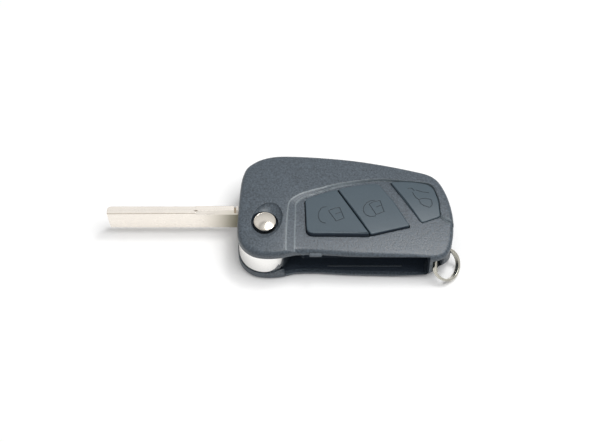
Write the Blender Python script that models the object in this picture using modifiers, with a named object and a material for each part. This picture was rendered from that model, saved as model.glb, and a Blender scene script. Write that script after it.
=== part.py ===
# Folding car remote key with three buttons, its blade swung out.
# The origin is the pivot axis of the blade, on the table. The case runs along +X and the blade points to -X.
import math

import bmesh
import bpy
from mathutils import Matrix, Vector
from mathutils.geometry import interpolate_bezier

# Case in plan, measured from the pivot
TAIL_REACH = 0.0630
REAR_REACH = 0.02775
FRONT_REACH = 0.0125
NOSE_RADIUS = 0.0091

# Case in height
CROWN_HEIGHT = 0.0172
CROWN_RADIUS = 0.150
CROWN_LINE_SHARE = 0.342
FALL_SHARE = 0.036
PARTING_HEIGHT = 0.0080
SEAM = 0.0002
WALL = 0.0015
FLOOR = 0.0016
TOP_ROUND = 0.0015
BASE_ROUND = 0.0010
PANEL_DROP = 0.00095
RIDGE_SLOPE = 0.0033
NOSE_LIP = 0.00335
SLOT_LIP = 0.0026
UPPER_SLOT_RISE = 0.00035

# Clearances
GAP = 0.0003
CAP_GAP = 0.00025
OVERRUN = 0.002
NEAR = 0.00001

# Blade and hub
BLADE_REACH = 0.0535
BLADE_THICK = 0.0031
BLADE_OFFSET = 0.0059
BLADE_NECK = 0.0142
BLADE_LEDGE = 0.0004
BLADE_TIP_DROP = 0.0003
BLADE_BEVEL = 0.0004
TANG_LENGTH = 0.0070
TANG_INSET = 0.0009
HUB_HEIGHT = 0.0086
HUB_REAR = 0.0104
HUB_CORNER = 0.0040
HUB_FLOOR = 0.0010
HUB_SWEEP_GAP = 0.0007
COLLAR_RADIUS = 0.0062
COLLAR_RISE = 0.0014
PIN_RADIUS = 0.0009
PIN_PLACE_SHARE = 0.59

# Release button and its spring
DOME_RADIUS = 0.00368
DOME_RISE = 0.0012
DOME_SINK = 0.00145
RELEASE_HOLE = 0.00446
RELEASE_FLANGE = 0.00485
FLANGE_THICK = 0.0015
RELEASE_SHAFT = 0.0016
RELEASE_TRAVEL = 0.0020
SHAFT_BELOW = 0.0014
SPRING_WIRE = 0.0003
SPRING_RADIUS = 0.0032
SPRING_TURNS = 4
SCOOP_WIDTH = 0.0056
SCOOP_LENGTH = 0.0074
SCOOP_DEPTH = 0.00165
SCOOP_SHIFT_SHARE = 0.18

# Walls inside the case
SLOT_BACK = 0.0050
SLOT_WALL = 0.0012
SLOT_START = 0.0080
SLOT_TAIL_INSET = 0.0083
CHAMBER_WALL = 0.0012
BEARING_RADIUS = 0.0070
BOSS_RADIUS = 0.0030
BOSS_HEIGHT = 0.0057
RIB_WIDTH = 0.0008
RIB_HEIGHT = 0.0005
NUB_HEIGHT = 0.0011
LEDGE_THICK = 0.0005

# Caps and what they press
CAP_TRAVEL = 0.0004
CAP_WALL = 0.0009
CAP_ROUND = 0.00035
CAP_TAB = 0.0007
CAP_TAB_WIDTH = 0.0040
CAP_POST = 0.0015
UNLOCK_PROUD = 0.0011
LOCK_PROUD = 0.0009
BOOT_PROUD = 0.0005
BOARD_HEIGHT = 0.00825
BOARD_THICK = 0.0010
SWITCH_SIZE = 0.0036
SWITCH_HEIGHT = 0.0012
SWITCH_STEM = 0.0009
SWITCH_STEM_RISE = 0.0003
MAT_THICK = 0.0005
DOME_WALL = 0.0005
MAT_DOME_RISE = 0.00175
MAT_INSET = 0.0010

# Cell, contacts and chips
CELL_RADIUS = 0.0100
CELL_HEIGHT = 0.0032
STRAP_THICK = 0.0003
STRAP_WIDTH = 0.0060
CHIP_LENGTH = 0.0052
CHIP_WIDTH = 0.0042
CHIP_HEIGHT = 0.0010
CRYSTAL_LENGTH = 0.0036
CRYSTAL_WIDTH = 0.0024
TRANSPONDER_LENGTH = 0.0110
TRANSPONDER_WIDTH = 0.0050
TRANSPONDER_HEIGHT = 0.0028

# Screws
SCREW_RADIUS = 0.0009
SCREW_HEAD = 0.0018
SCREW_HEAD_HEIGHT = 0.0011
SCREW_BOSS = 0.0025
SCREW_LENGTH = 0.0085
SCREW_SLOT = 0.00045
SCREW_SINK = 0.0004

# Split ring and the corner post that it hangs on
POST_TAIL_INSET = 0.0029
POST_FRONT_INSET = 0.0032
POST_RADIUS = 0.0017
TUNNEL_RADIUS = 0.0053
TUNNEL_SIDE = 0.0046
TUNNEL_LOW = 0.0044
TUNNEL_HIGH = 0.0106
CORNER_WALL = 0.0012
RING_RADIUS = 0.0052
RING_BAND = 0.00088
RING_THICK = 0.00062
RING_SLIT = 0.00010
TABLE_GAP = 0.0001
RING_AZIMUTH = math.radians(-38.5)
RING_TILT = math.radians(47)
RING_CROSSING_ANGLE = math.radians(-75)

# Shares of the reaches: x of the tail or the nose, y of the rear or the front
CASE_SHARES = [
    (0.057, -0.996), (0.100, -0.964), (0.129, -0.920), (0.162, -0.880), (0.476, -0.928), (0.794, -0.964),
    (0.897, -0.976), (0.948, -0.864), (0.971, -0.720), (0.984, -0.528), (0.994, -0.304), (1.000, 0.049),
    (0.987, 0.308), (0.961, 0.514), (0.932, 0.645), (0.902, 0.714), (0.870, 0.753), (0.806, 0.796),
    (0.644, 0.883), (0.481, 0.948), (0.317, 0.984), (0.143, 1.000), (0.056, 0.991), (-0.066, 0.955),
    (-0.407, 0.897), (-0.703, 0.807), (-0.813, 0.717), (-0.879, 0.623), (-0.934, 0.447), (-0.978, 0.180),
]

# Edge of the raised part of the top, with the width of its slope as a share of RIDGE_SLOPE
RIDGE_SHARES = [
    (0.108, -0.800, 1.00), (0.110, -0.272, 1.00), (0.116, 0.115, 0.96), (0.129, 0.288, 0.80),
    (0.176, 0.386, 0.62), (0.222, 0.436, 0.56), (0.283, 0.483, 0.48), (0.338, 0.526, 0.40),
    (0.406, 0.569, 0.31), (0.476, 0.602, 0.24), (0.544, 0.627, 0.18), (0.595, 0.638, 0.13),
    (0.663, 0.641, 0.11), (0.749, 0.627, 0.11), (0.819, 0.614, 0.11), (0.870, 0.598, 0.11),
    (0.900, 0.555, 0.11), (0.917, 0.458, 0.11), (0.932, 0.328, 0.13), (0.938, 0.126, 0.20),
    (0.959, 0.090, 0.35), (0.986, 0.065, 0.45),
]

# Corners of the caps, with the length of their rounding as a share of CAP_CORNER
CAP_CORNER = 0.0024
CORNER_LIMIT_SHARE = 0.45
UNLOCK_SHARES = [
    (0.549, -0.376, 0.25), (0.382, 0.461, 0.25), (0.324, 0.418, 0.40), (0.268, 0.368, 0.40),
    (0.213, 0.306, 0.40), (0.221, -0.400, 1.00),
]
LOCK_SHARES = [
    (0.765, -0.080, 0.35), (0.686, 0.303, 0.50), (0.616, 0.541, 0.45), (0.595, 0.573, 0.45),
    (0.543, 0.559, 0.50), (0.433, 0.505, 0.50), (0.389, 0.468, 0.25), (0.557, -0.364, 0.25),
]
BOOT_SHARES = [
    (0.927, 0.115, 0.40), (0.919, 0.342, 0.60), (0.903, 0.505, 0.60), (0.879, 0.569, 0.60),
    (0.819, 0.587, 0.60), (0.749, 0.598, 0.60), (0.676, 0.584, 0.35), (0.829, 0.022, 0.45),
]

# Tabs that keep a cap under the roof: place on its edge, as shares, and the way that the tab points
UNLOCK_TAB_SHARES = [(0.250, 0.345, (0, 1, 0)), (0.345, 0.432, (0, 1, 0))]
LOCK_TAB_SHARES = [(0.450, 0.508, (0, 1, 0)), (0.565, 0.560, (0, 1, 0))]
BOOT_TAB_SHARES = [(0.835, 0.580, (0, 1, 0)), (0.752, 0.302, (-1, 0, 0))]

# Places of the posts, screws and parts on the board, as shares of the same reaches
UNLOCK_SPOT_SHARES = (0.370, 0.090)
LOCK_SPOT_SHARES = (0.580, 0.200)
BOOT_SPOT_SHARES = (0.835, 0.320)
CHIP_SPOT_SHARES = (0.475, 0.640)
CRYSTAL_SPOT_SHARES = (0.700, 0.600)
CELL_SPOT_SHARES = (0.560, 0.330)
TRANSPONDER_SPOT_SHARES = (0.135, 0.730)
NOSE_SCREW_SHARES = (-0.420, 0.715)
TAIL_SCREW_SHARES = (0.746, 0.728)
BOARD_POST_SHARES = [(0.300, -0.150), (0.300, 0.800), (0.620, 0.740), (0.790, -0.120), (0.900, 0.200)]
SLOT_RIB_SHARES = (0.333, 0.730)
SLOT_RIB_LINE_SHARE = 0.64
NUB_SHARES = (0.225, 0.308)

# Turns about the pivot, and how steep a face has to be
CHAMBER_START = math.radians(-22)
CHAMBER_END = math.radians(124)
SLOT_WALL_ANGLE = math.radians(20)
SHARP_ANGLE = math.radians(35)
LEVEL_ANGLE = math.radians(0.2)
LEVEL_NORMAL_SHARE = 0.99
UPRIGHT_NORMAL_SHARE = 0.1
RIDGE_OVERCUT_SHARE = 1.5

# How finely curves are cut
OUTLINE_STEPS = 2
CORNER_STEPS = 4
ROUND_STEPS = 3
SMALL_ROUND_STEPS = 2
CROWN_CUTS = 8
NOSE_STEPS = 4
HUB_STEPS = 24
CHAMBER_STEPS = 22
DOME_STEPS = 8
SCOOP_STEPS = 16
SIDES = 40
SMALL_SIDES = 20
SPRING_SIDES = 12
RING_SIDES = 36
RING_CROSSING = 6

# Colour, roughness and metal of each finish
COATS = {
    "case_plastic": ((0.06, 0.07, 0.08), 0.55, 0),
    "cap_plastic": ((0.05, 0.07, 0.085), 0.50, 0),
    "mat_rubber": ((0.10, 0.11, 0.12), 0.70, 0),
    "board": ((0.02, 0.16, 0.07), 0.45, 0),
    "contact_metal": ((0.70, 0.68, 0.62), 0.30, 1),
    "chip_plastic": ((0.02, 0.02, 0.02), 0.40, 0),
    "cell_steel": ((0.75, 0.75, 0.76), 0.25, 1),
    "hub_chrome": ((0.85, 0.85, 0.86), 0.12, 1),
    "blade_steel": ((0.78, 0.77, 0.73), 0.25, 1),
    "button_nickel": ((0.82, 0.80, 0.76), 0.18, 1),
    "screw_steel": ((0.55, 0.55, 0.55), 0.30, 1),
    "ring_steel": ((0.75, 0.74, 0.70), 0.20, 1),
}

# Places and heights worked out from the sizes above
CROWN_LINE = REAR_REACH * CROWN_LINE_SHARE
NOSE_CENTRE = NOSE_RADIUS - FRONT_REACH
HUB_LOW = NOSE_LIP + GAP
HUB_TOP = HUB_LOW + HUB_HEIGHT
UPPER_NOSE_LIP = HUB_TOP + GAP
UPPER_SLOT_LIP = UPPER_NOSE_LIP + UPPER_SLOT_RISE
COLLAR_TOP = HUB_TOP + COLLAR_RISE
HUB_BORE = RELEASE_FLANGE + GAP
HUB_INNER_FLOOR = BOSS_HEIGHT + GAP + HUB_FLOOR
CHAMBER_RADIUS = FRONT_REACH - GAP + HUB_SWEEP_GAP
PANEL_HEIGHT = CROWN_HEIGHT - PANEL_DROP
CEILING_HEIGHT = PANEL_HEIGHT - WALL
RELEASE_TOP = COLLAR_TOP
BOARD_TOP = BOARD_HEIGHT + BOARD_THICK
CELL_TOP = BOARD_HEIGHT - GAP - STRAP_THICK - GAP
CELL_LOW = CELL_TOP - CELL_HEIGHT
MAT_LOW = BOARD_TOP + GAP
MAT_TOP = MAT_LOW + MAT_THICK + MAT_DOME_RISE
SLOT_END = TAIL_REACH - SLOT_TAIL_INSET
POST_PLACE = Vector((TAIL_REACH - POST_TAIL_INSET, POST_FRONT_INSET - FRONT_REACH, 0))


def spot(share_x, share_y):
    reach_x = TAIL_REACH if share_x > 0 else NOSE_RADIUS
    reach_y = REAR_REACH if share_y > 0 else FRONT_REACH
    return Vector((share_x * reach_x, share_y * reach_y, 0))


def crown_drop(x, y):
    return -FALL_SHARE * x - (y - CROWN_LINE) ** 2 / (2 * CROWN_RADIUS)


# Outlines

def smooth_loop(points, steps):
    # A closed curve through the points, with handles along the bisector of its neighbours
    loop = []
    count = len(points)
    tangents = []
    for index, point in enumerate(points):
        before = (point - points[index - 1]).normalized()
        after = (points[(index + 1) % count] - point).normalized()
        tangents.append((before + after).normalized())
    for index, point in enumerate(points):
        following = points[(index + 1) % count]
        reach = (following - point).length / 3
        start_handle = point + tangents[index] * reach
        end_handle = following - tangents[(index + 1) % count] * reach
        loop += interpolate_bezier(point, start_handle, end_handle, following, steps + 1)[:-1]
    return loop


def rounded_loop(corners):
    loop = []
    for index, (corner, reach) in enumerate(corners):
        before = corners[index - 1][0]
        after = corners[(index + 1) % len(corners)][0]
        shortest = min((before - corner).length, (after - corner).length)
        reach = min(reach, shortest * CORNER_LIMIT_SHARE)
        start = corner + (before - corner).normalized() * reach
        end = corner + (after - corner).normalized() * reach
        for step in range(CORNER_STEPS + 1):
            t = step / CORNER_STEPS
            loop.append(start * (1 - t) ** 2 + corner * (2 * t * (1 - t)) + end * t ** 2)
    return loop


def inset_loop(points, distance):
    # Moves a loop, listed anticlockwise, inwards by the distance
    loop = []
    for index, point in enumerate(points):
        before = (point - points[index - 1]).normalized()
        after = (points[(index + 1) % len(points)] - point).normalized()
        inward = Vector((-before.y - after.y, before.x + after.x, 0)).normalized()
        side = Vector((-after.y, after.x, 0))
        loop.append(point + inward * (distance / inward.dot(side)))
    return loop


def arc(centre, radius, start, end, steps):
    angles = [start + (end - start) * step / steps for step in range(steps + 1)]
    return [centre + Vector((math.cos(angle), math.sin(angle), 0)) * radius for angle in angles]


def case_loop():
    nose = arc(Vector((0, NOSE_CENTRE, 0)), NOSE_RADIUS, math.pi, math.pi * 3 / 2, NOSE_STEPS)
    return smooth_loop(nose + [spot(*shares) for shares in CASE_SHARES], OUTLINE_STEPS)


# Shapes. Each starts as a cutter, and as_part makes it a piece of the key.

parts = bpy.data.collections.new("car_remote_key")
cutters = bpy.data.collections.new("cutters")


def clear_scene():
    for old in list(bpy.data.objects):
        bpy.data.objects.remove(old)
    bpy.context.scene.collection.children.link(parts)
    bpy.context.scene.collection.children.link(cutters)


def add_shape(name, data):
    shape = bpy.data.objects.new(name, data)
    shape.hide_render = True
    shape.display_type = "WIRE"
    cutters.objects.link(shape)
    return shape


def shape_from(name, bm):
    bmesh.ops.recalc_face_normals(bm, faces=bm.faces)
    if bm.calc_volume(signed=True) < 0:
        bmesh.ops.reverse_faces(bm, faces=bm.faces)
    mesh = bpy.data.meshes.new(name)
    bm.to_mesh(mesh)
    bm.free()
    return add_shape(name, mesh)


def mesh_of(source):
    graph = bpy.context.evaluated_depsgraph_get()
    return bpy.data.meshes.new_from_object(source.evaluated_get(graph))


def from_curve(name, curve_object):
    # Welds the loose caps of the curve and joins their triangles into one flat face
    bm = bmesh.new()
    bm.from_mesh(mesh_of(curve_object))
    bmesh.ops.remove_doubles(bm, verts=bm.verts, dist=NEAR / 10)
    bmesh.ops.dissolve_limit(bm, angle_limit=LEVEL_ANGLE, verts=bm.verts, edges=bm.edges)
    bm.transform(curve_object.matrix_world)
    bpy.data.objects.remove(curve_object)
    return shape_from(name, bm)


def slab(name, points, low, high):
    curve = bpy.data.curves.new(name, "CURVE")
    curve.dimensions = "2D"
    curve.fill_mode = "BOTH"
    curve.extrude = (high - low) / 2
    spline = curve.splines.new("POLY")
    spline.points.add(len(points) - 1)
    for knot, point in zip(spline.points, points):
        knot.co = (point.x, point.y, 0, 1)
    spline.use_cyclic_u = True
    outline = add_shape(name, curve)
    outline.location.z = (low + high) / 2
    return from_curve(name, outline)


def block(name, low, high):
    low = Vector(low)
    high = Vector(high)
    bm = bmesh.new()
    place = Matrix.Translation((low + high) / 2) @ Matrix.Diagonal((high - low).to_4d())
    place[3][3] = 1
    bmesh.ops.create_cube(bm, size=1, matrix=place)
    return shape_from(name, bm)


def rod(name, radius, start, end, sides=SIDES):
    start = Vector(start)
    run = Vector(end) - start
    turn = Vector((0, 0, 1)).rotation_difference(run).to_matrix().to_4x4()
    place = Matrix.Translation(start + run / 2) @ turn
    bm = bmesh.new()
    bmesh.ops.create_cone(
        bm, cap_ends=True, segments=sides, radius1=radius, radius2=radius, depth=run.length, matrix=place)
    return shape_from(name, bm)


def turned(name, profile, sides=SIDES):
    # The profile runs from the axis or a closed loop, as (radius, height) pairs, down its outer side
    bm = bmesh.new()
    verts = [bm.verts.new((radius, 0, height)) for radius, height in profile]
    for first, second in zip(verts, verts[1:]):
        bm.edges.new((first, second))
    if profile[0][0] > 0:
        bm.edges.new((verts[-1], verts[0]))
    mesh = bpy.data.meshes.new(name)
    bm.to_mesh(mesh)
    bm.free()
    shape = add_shape(name, mesh)
    screw = shape.modifiers.new("turn", "SCREW")
    screw.steps = sides
    screw.render_steps = sides
    screw.use_merge_vertices = True
    screw.merge_threshold = NEAR / 10
    baked(shape)
    bm = bmesh.new()
    bm.from_mesh(shape.data)
    bmesh.ops.remove_doubles(bm, verts=bm.verts, dist=NEAR / 10)
    bm.to_mesh(shape.data)
    bm.free()
    return shape


def loft(name, loops):
    bm = bmesh.new()
    rings = [[bm.verts.new(point) for point in loop] for loop in loops]
    for lower, upper in zip(rings, rings[1:]):
        for index in range(len(lower)):
            after = (index + 1) % len(lower)
            bm.faces.new((lower[index], lower[after], upper[after], upper[index]))
    bm.faces.new(rings[0])
    bm.faces.new(rings[-1])
    bmesh.ops.triangulate(bm, faces=bm.faces)
    return shape_from(name, bm)


def boolean(shape, operation, tools):
    for tool in tools:
        modifier = shape.modifiers.new(tool.name, "BOOLEAN")
        modifier.operation = operation
        modifier.solver = "EXACT"
        modifier.object = tool
    return shape


def cut(shape, *tools):
    return boolean(shape, "DIFFERENCE", tools)


def joined(shape, *tools):
    return boolean(shape, "UNION", tools)


def within(shape, *tools):
    return boolean(shape, "INTERSECT", tools)


def baked(shape):
    mesh = mesh_of(shape)
    shape.modifiers.clear()
    shape.data = mesh
    return shape


def round_edges(shape, radius, chosen, segments=ROUND_STEPS):
    baked(shape)
    bm = bmesh.new()
    bm.from_mesh(shape.data)
    bm.normal_update()
    edges = [edge for edge in bm.edges if len(edge.link_faces) == 2 and chosen(edge)]
    bmesh.ops.bevel(
        bm, geom=edges, offset=radius, segments=segments, profile=0.5, affect="EDGES", clamp_overlap=False)
    bm.to_mesh(shape.data)
    bm.free()
    return shape


def is_rim(edge, up):
    slopes = sorted(face.normal.z * up for face in edge.link_faces)
    return slopes[1] > LEVEL_NORMAL_SHARE and abs(slopes[0]) < UPRIGHT_NORMAL_SHARE


def top_rim(edge):
    return is_rim(edge, 1)


def base_rim(edge):
    return is_rim(edge, -1)


def follow_crown(shape, level, reach):
    # Cuts the flat face at the level into strips along X, then bends all that lies near it to the crown
    bm = bmesh.new()
    bm.from_mesh(shape.data)
    bm.normal_update()
    flat = [
        face for face in bm.faces
        if abs(face.normal.z) > LEVEL_NORMAL_SHARE and abs(face.calc_center_median().z - level) < NEAR
    ]
    spacing = (REAR_REACH + FRONT_REACH) / CROWN_CUTS
    for step in range(1, CROWN_CUTS):
        place = Vector((0, step * spacing - FRONT_REACH, 0))
        edges = {edge for face in flat for edge in face.edges}
        corners = {corner for face in flat for corner in face.verts}
        geometry = list(corners) + list(edges) + flat
        halves = bmesh.ops.bisect_plane(bm, geom=geometry, dist=NEAR / 10, plane_co=place, plane_no=(0, 1, 0))
        flat = [item for item in halves["geom"] if isinstance(item, bmesh.types.BMFace)]
    bent = [corner for corner in bm.verts if abs(corner.co.z - level) < reach + NEAR]
    for corner in bent:
        corner.co.z += crown_drop(corner.co.x, corner.co.y)
    bmesh.ops.triangulate(bm, faces=list({face for corner in bent for face in corner.link_faces}))
    bm.to_mesh(shape.data)
    bm.free()
    return shape


def coat(name, finish):
    colour, roughness, metallic = COATS[finish]
    material = bpy.data.materials.new(name)
    material.use_nodes = True
    shader = material.node_tree.nodes["Principled BSDF"]
    shader.inputs["Base Color"].default_value = (*colour, 1)
    shader.inputs["Roughness"].default_value = roughness
    shader.inputs["Metallic"].default_value = metallic
    return material


def as_part(shape, name, finish):
    cutters.objects.unlink(shape)
    parts.objects.link(shape)
    shape.name = name
    shape.hide_render = False
    shape.display_type = "TEXTURED"
    baked(shape)
    shape.data.materials.clear()
    shape.data.materials.append(coat(name, finish))
    shape.data.shade_smooth()
    shape.data.set_sharp_from_angle(angle=SHARP_ANGLE)
    return shape


def set_origin(shape, place):
    shape.data.transform(Matrix.Translation(-Vector(place)))
    shape.location = place
    return shape


# Case

def case_slab(name, inset, low, high):
    return slab(name, inset_loop(case_loop(), inset), low, high)


def slot_windows(low, high):
    # The open front and left side of the case, where the hub and the folded blade lie
    nose_low, slot_low = low
    nose_high, slot_high = high
    far = TAIL_REACH
    side = block("side_window", (-far, -far, nose_low), (-NOSE_RADIUS / 2, HUB_REAR + GAP, nose_high))
    nose = block("nose_window", (-far, -far, nose_low), (SLOT_START, -SLOT_BACK, nose_high))
    slot = block("slot_window", (SLOT_START - WALL, -far, slot_low), (SLOT_END, -SLOT_BACK, slot_high))
    return side, nose, slot


def chamber_wall(low, high):
    outer = arc(Vector(), CHAMBER_RADIUS + CHAMBER_WALL, CHAMBER_START, CHAMBER_END, CHAMBER_STEPS)
    inner = arc(Vector(), CHAMBER_RADIUS, CHAMBER_END, CHAMBER_START, CHAMBER_STEPS)
    return slab("chamber_wall", outer + inner, low, high)


def slot_wall(low, high):
    start = CHAMBER_RADIUS * math.cos(SLOT_WALL_ANGLE)
    return block("slot_wall", (start, -SLOT_BACK, low), (SLOT_END + WALL, SLOT_WALL - SLOT_BACK, high))


def upright(name, radius, place, low, high, sides=SIDES):
    return rod(name, radius, (place.x, place.y, low), (place.x, place.y, high), sides)


def corner_boss(low, high):
    return upright("corner_boss", TUNNEL_RADIUS + CORNER_WALL, POST_PLACE, low, high)


def ring_tunnel():
    tunnel = upright("ring_tunnel", TUNNEL_RADIUS, POST_PLACE, TUNNEL_LOW, TUNNEL_HIGH)
    post = upright("ring_post", POST_RADIUS, POST_PLACE, TUNNEL_LOW - OVERRUN, TUNNEL_HIGH + OVERRUN)
    side = block(
        "tunnel_side",
        (POST_PLACE.x - TUNNEL_SIDE, POST_PLACE.y - 2 * TUNNEL_RADIUS, 0),
        (POST_PLACE.x + 2 * TUNNEL_RADIUS, POST_PLACE.y + 2 * TUNNEL_RADIUS, CROWN_HEIGHT))
    cut(tunnel, post)
    return within(tunnel, side)


def screw_places():
    return {"nose_screw": spot(*NOSE_SCREW_SHARES), "tail_screw": spot(*TAIL_SCREW_SHARES)}


def bottom_shell():
    top = PARTING_HEIGHT - SEAM / 2
    above = PARTING_HEIGHT + OVERRUN
    below = FLOOR - OVERRUN
    shell = round_edges(case_slab("bottom_shell", 0, 0, top), BASE_ROUND, base_rim)
    hollow = case_slab("lower_hollow", WALL, FLOOR, above)
    rib_start, rib_end = (share * TAIL_REACH for share in SLOT_RIB_SHARES)
    rib_line = -FRONT_REACH * SLOT_RIB_LINE_SHARE
    bearing = turned("bearing", [
        (BEARING_RADIUS - WALL, NOSE_LIP), (BEARING_RADIUS, NOSE_LIP), (BEARING_RADIUS, below),
        (BEARING_RADIUS - WALL, below)])
    keeps = [
        chamber_wall(below, above + OVERRUN),
        slot_wall(below, above + OVERRUN),
        corner_boss(below, above + OVERRUN),
        bearing,
        rod("shaft_boss", BOSS_RADIUS, (0, 0, below), (0, 0, BOSS_HEIGHT)),
        block(
            "slot_rib",
            (rib_start, rib_line - RIB_WIDTH / 2, below),
            (rib_end, rib_line + RIB_WIDTH / 2, FLOOR + RIB_HEIGHT)),
    ]
    for number, shares in enumerate(BOARD_POST_SHARES):
        keeps.append(upright(
            f"board_post_{number}", WALL, spot(*shares), below, BOARD_HEIGHT - GAP, SMALL_SIDES))
    cell = spot(*CELL_SPOT_SHARES)
    strap_low = CELL_LOW - GAP - STRAP_THICK
    for side in (-1, 1):
        line = cell.y + side * CELL_RADIUS / 2
        keeps.append(block(
            f"cell_rib_{side}",
            (cell.x - CELL_RADIUS / 2, line - RIB_WIDTH / 2, below),
            (cell.x + CELL_RADIUS / 2, line + RIB_WIDTH / 2, CELL_LOW - GAP)))
    keeps.append(block(
        "strap_rib",
        (cell.x - RIB_WIDTH / 2, cell.y - STRAP_WIDTH / 3, below),
        (cell.x + RIB_WIDTH / 2, cell.y + STRAP_WIDTH / 3, strap_low - GAP)))
    keeps.append(transponder_pocket(below))
    for name, place in screw_places().items():
        keeps.append(upright(f"{name}_boss", SCREW_BOSS, place, below, above + OVERRUN, SMALL_SIDES))
    for keep in keeps:
        cut(hollow, keep)
    cut(shell, hollow)
    cut(shell, *slot_windows((NOSE_LIP, SLOT_LIP), (above, above)))
    cut(shell, ring_tunnel())
    shaft_low = BOSS_HEIGHT - RELEASE_TRAVEL - SHAFT_BELOW - GAP
    cut(shell, rod("shaft_bore", RELEASE_SHAFT + GAP, (0, 0, shaft_low), (0, 0, above)))
    for name, place in screw_places().items():
        cut(shell, upright(f"{name}_bore", SCREW_RADIUS + GAP, place, -OVERRUN, above, SMALL_SIDES))
        head_room = SCREW_HEAD_HEIGHT + SCREW_SINK
        cut(shell, upright(f"{name}_recess", SCREW_HEAD + GAP, place, -OVERRUN, head_room, SMALL_SIDES))
    return as_part(shell, "bottom_shell", "case_plastic")


def transponder_pocket(low):
    # A low wall round the chip
    place = spot(*TRANSPONDER_SPOT_SHARES)
    half = Vector((TRANSPONDER_LENGTH / 2 + GAP, TRANSPONDER_WIDTH / 2 + GAP, 0))
    rim = Vector((RIB_WIDTH, RIB_WIDTH, 0))
    height = Vector((0, 0, FLOOR + TRANSPONDER_HEIGHT / 2))
    wall = block("pocket_wall", place - half - rim + Vector((0, 0, low)), place + half + rim + height)
    room = block("pocket_room", place - half + Vector((0, 0, low - OVERRUN)), place + half + height * 2)
    return baked(cut(wall, room))


def release_scoop():
    # An oval dish, low in the middle, that the thumb follows to the button
    rise = SCOOP_DEPTH / 3
    depth = SCOOP_DEPTH + rise
    centre = Vector((SCOOP_WIDTH * SCOOP_SHIFT_SHARE, 0, CROWN_HEIGHT + crown_drop(0, 0) + rise))
    bm = bmesh.new()
    bmesh.ops.create_uvsphere(bm, u_segments=SIDES, v_segments=SCOOP_STEPS, radius=1)
    bmesh.ops.scale(bm, vec=(SCOOP_WIDTH, SCOOP_LENGTH, depth), verts=bm.verts)
    bmesh.ops.translate(bm, vec=centre, verts=bm.verts)
    return shape_from("release_scoop", bm)


def panel_room():
    # What the raised part of the top leaves free: the stepped-down panel, its slope and the air above
    rows = [(spot(x, y), width * RIDGE_SLOPE) for x, y, width in RIDGE_SHARES]
    entry = Vector((rows[0][0].x, -FRONT_REACH - OVERRUN, 0))
    leaving = Vector((TAIL_REACH + OVERRUN, rows[-1][0].y, 0))
    corner = Vector((TAIL_REACH + OVERRUN, -FRONT_REACH - OVERRUN, 0))
    rows = [(corner, 0), (leaving, rows[-1][1])] + rows[::-1] + [(entry, rows[0][1])]
    edge = [row[0] for row in rows]
    foot = []
    for index, (point, width) in enumerate(rows):
        before = (point - edge[index - 1]).normalized()
        after = (edge[(index + 1) % len(edge)] - point).normalized()
        inward = Vector((-before.y - after.y, before.x + after.x, 0)).normalized()
        if point in (leaving, corner, entry):
            inward = Vector((1, 0, 0)) if point is entry else Vector((0, -1, 0))
        foot.append(point + inward * width)
    up = Vector((0, 0, 1))
    deep_level = CROWN_HEIGHT - PANEL_DROP * RIDGE_OVERCUT_SHARE
    deep = [
        point + (low - point) * RIDGE_OVERCUT_SHARE + up * (deep_level + crown_drop(point.x, point.y))
        for point, low in zip(edge, foot)
    ]
    brink = [point + up * (CROWN_HEIGHT + crown_drop(point.x, point.y)) for point in edge]
    sky = [point + up * (CROWN_HEIGHT + OVERRUN) for point in edge]
    return loft("panel_room", [deep, brink, sky])


def top_blank():
    low = PARTING_HEIGHT + SEAM / 2
    blank = round_edges(case_slab("top_shell", 0, low, PANEL_HEIGHT), TOP_ROUND, top_rim)
    follow_crown(blank, PANEL_HEIGHT, TOP_ROUND)
    ridge = round_edges(case_slab("ridge", 0, low + OVERRUN, CROWN_HEIGHT), TOP_ROUND, top_rim)
    follow_crown(ridge, CROWN_HEIGHT, TOP_ROUND)
    cut(ridge, panel_room())
    return joined(blank, ridge)


def top_shell():
    below = PARTING_HEIGHT - OVERRUN
    above = CROWN_HEIGHT + OVERRUN
    shell = top_blank()
    hollow = follow_crown(case_slab("upper_hollow", WALL, below, CEILING_HEIGHT), CEILING_HEIGHT, 0)
    collar_room = COLLAR_RADIUS + GAP
    keeps = [
        chamber_wall(below - OVERRUN, above),
        slot_wall(below - OVERRUN, above),
        corner_boss(below - OVERRUN, above),
        turned("collar_guide", [
            (collar_room, above), (collar_room + WALL, above), (collar_room + WALL, UPPER_NOSE_LIP),
            (collar_room, UPPER_NOSE_LIP)]),
    ]
    for name, place in screw_places().items():
        keeps.append(upright(f"{name}_socket", SCREW_BOSS, place, below - OVERRUN, above, SMALL_SIDES))
    for keep in keeps:
        cut(hollow, keep)
    cut(shell, hollow)
    cut(shell, *slot_windows((below, below), (UPPER_NOSE_LIP, UPPER_SLOT_LIP)))
    cut(shell, ring_tunnel(), release_scoop())
    cut(shell, rod("release_hole", RELEASE_HOLE, (0, 0, UPPER_NOSE_LIP), (0, 0, above)))
    for name, shares in (("unlock", UNLOCK_SHARES), ("lock", LOCK_SHARES), ("boot", BOOT_SHARES)):
        loop = cap_loop(shares)
        opening_low = cap_low(loop) - CAP_TRAVEL - GAP
        opening = slab(f"{name}_opening", cap_loop(shares, -CAP_GAP), opening_low, above)
        cut(shell, cut(opening, front_ledge(f"{name}_ledge", opening_low, 0)))
    for name, place in screw_places().items():
        thread_end = SCREW_SINK + SCREW_HEAD_HEIGHT + SCREW_LENGTH + GAP
        cut(shell, upright(f"{name}_thread", SCREW_RADIUS + GAP, place, below, thread_end, SMALL_SIDES))
    return as_part(joined(shell, slot_nub()), "top_shell", "case_plastic")


def front_ledge(name, low, room):
    # The top of the slot's back wall reaches under the front of the caps
    return block(
        name,
        (0, -FRONT_REACH, low - OVERRUN),
        (TAIL_REACH, SLOT_WALL - SLOT_BACK + room, UPPER_SLOT_LIP + LEDGE_THICK + room))


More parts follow.
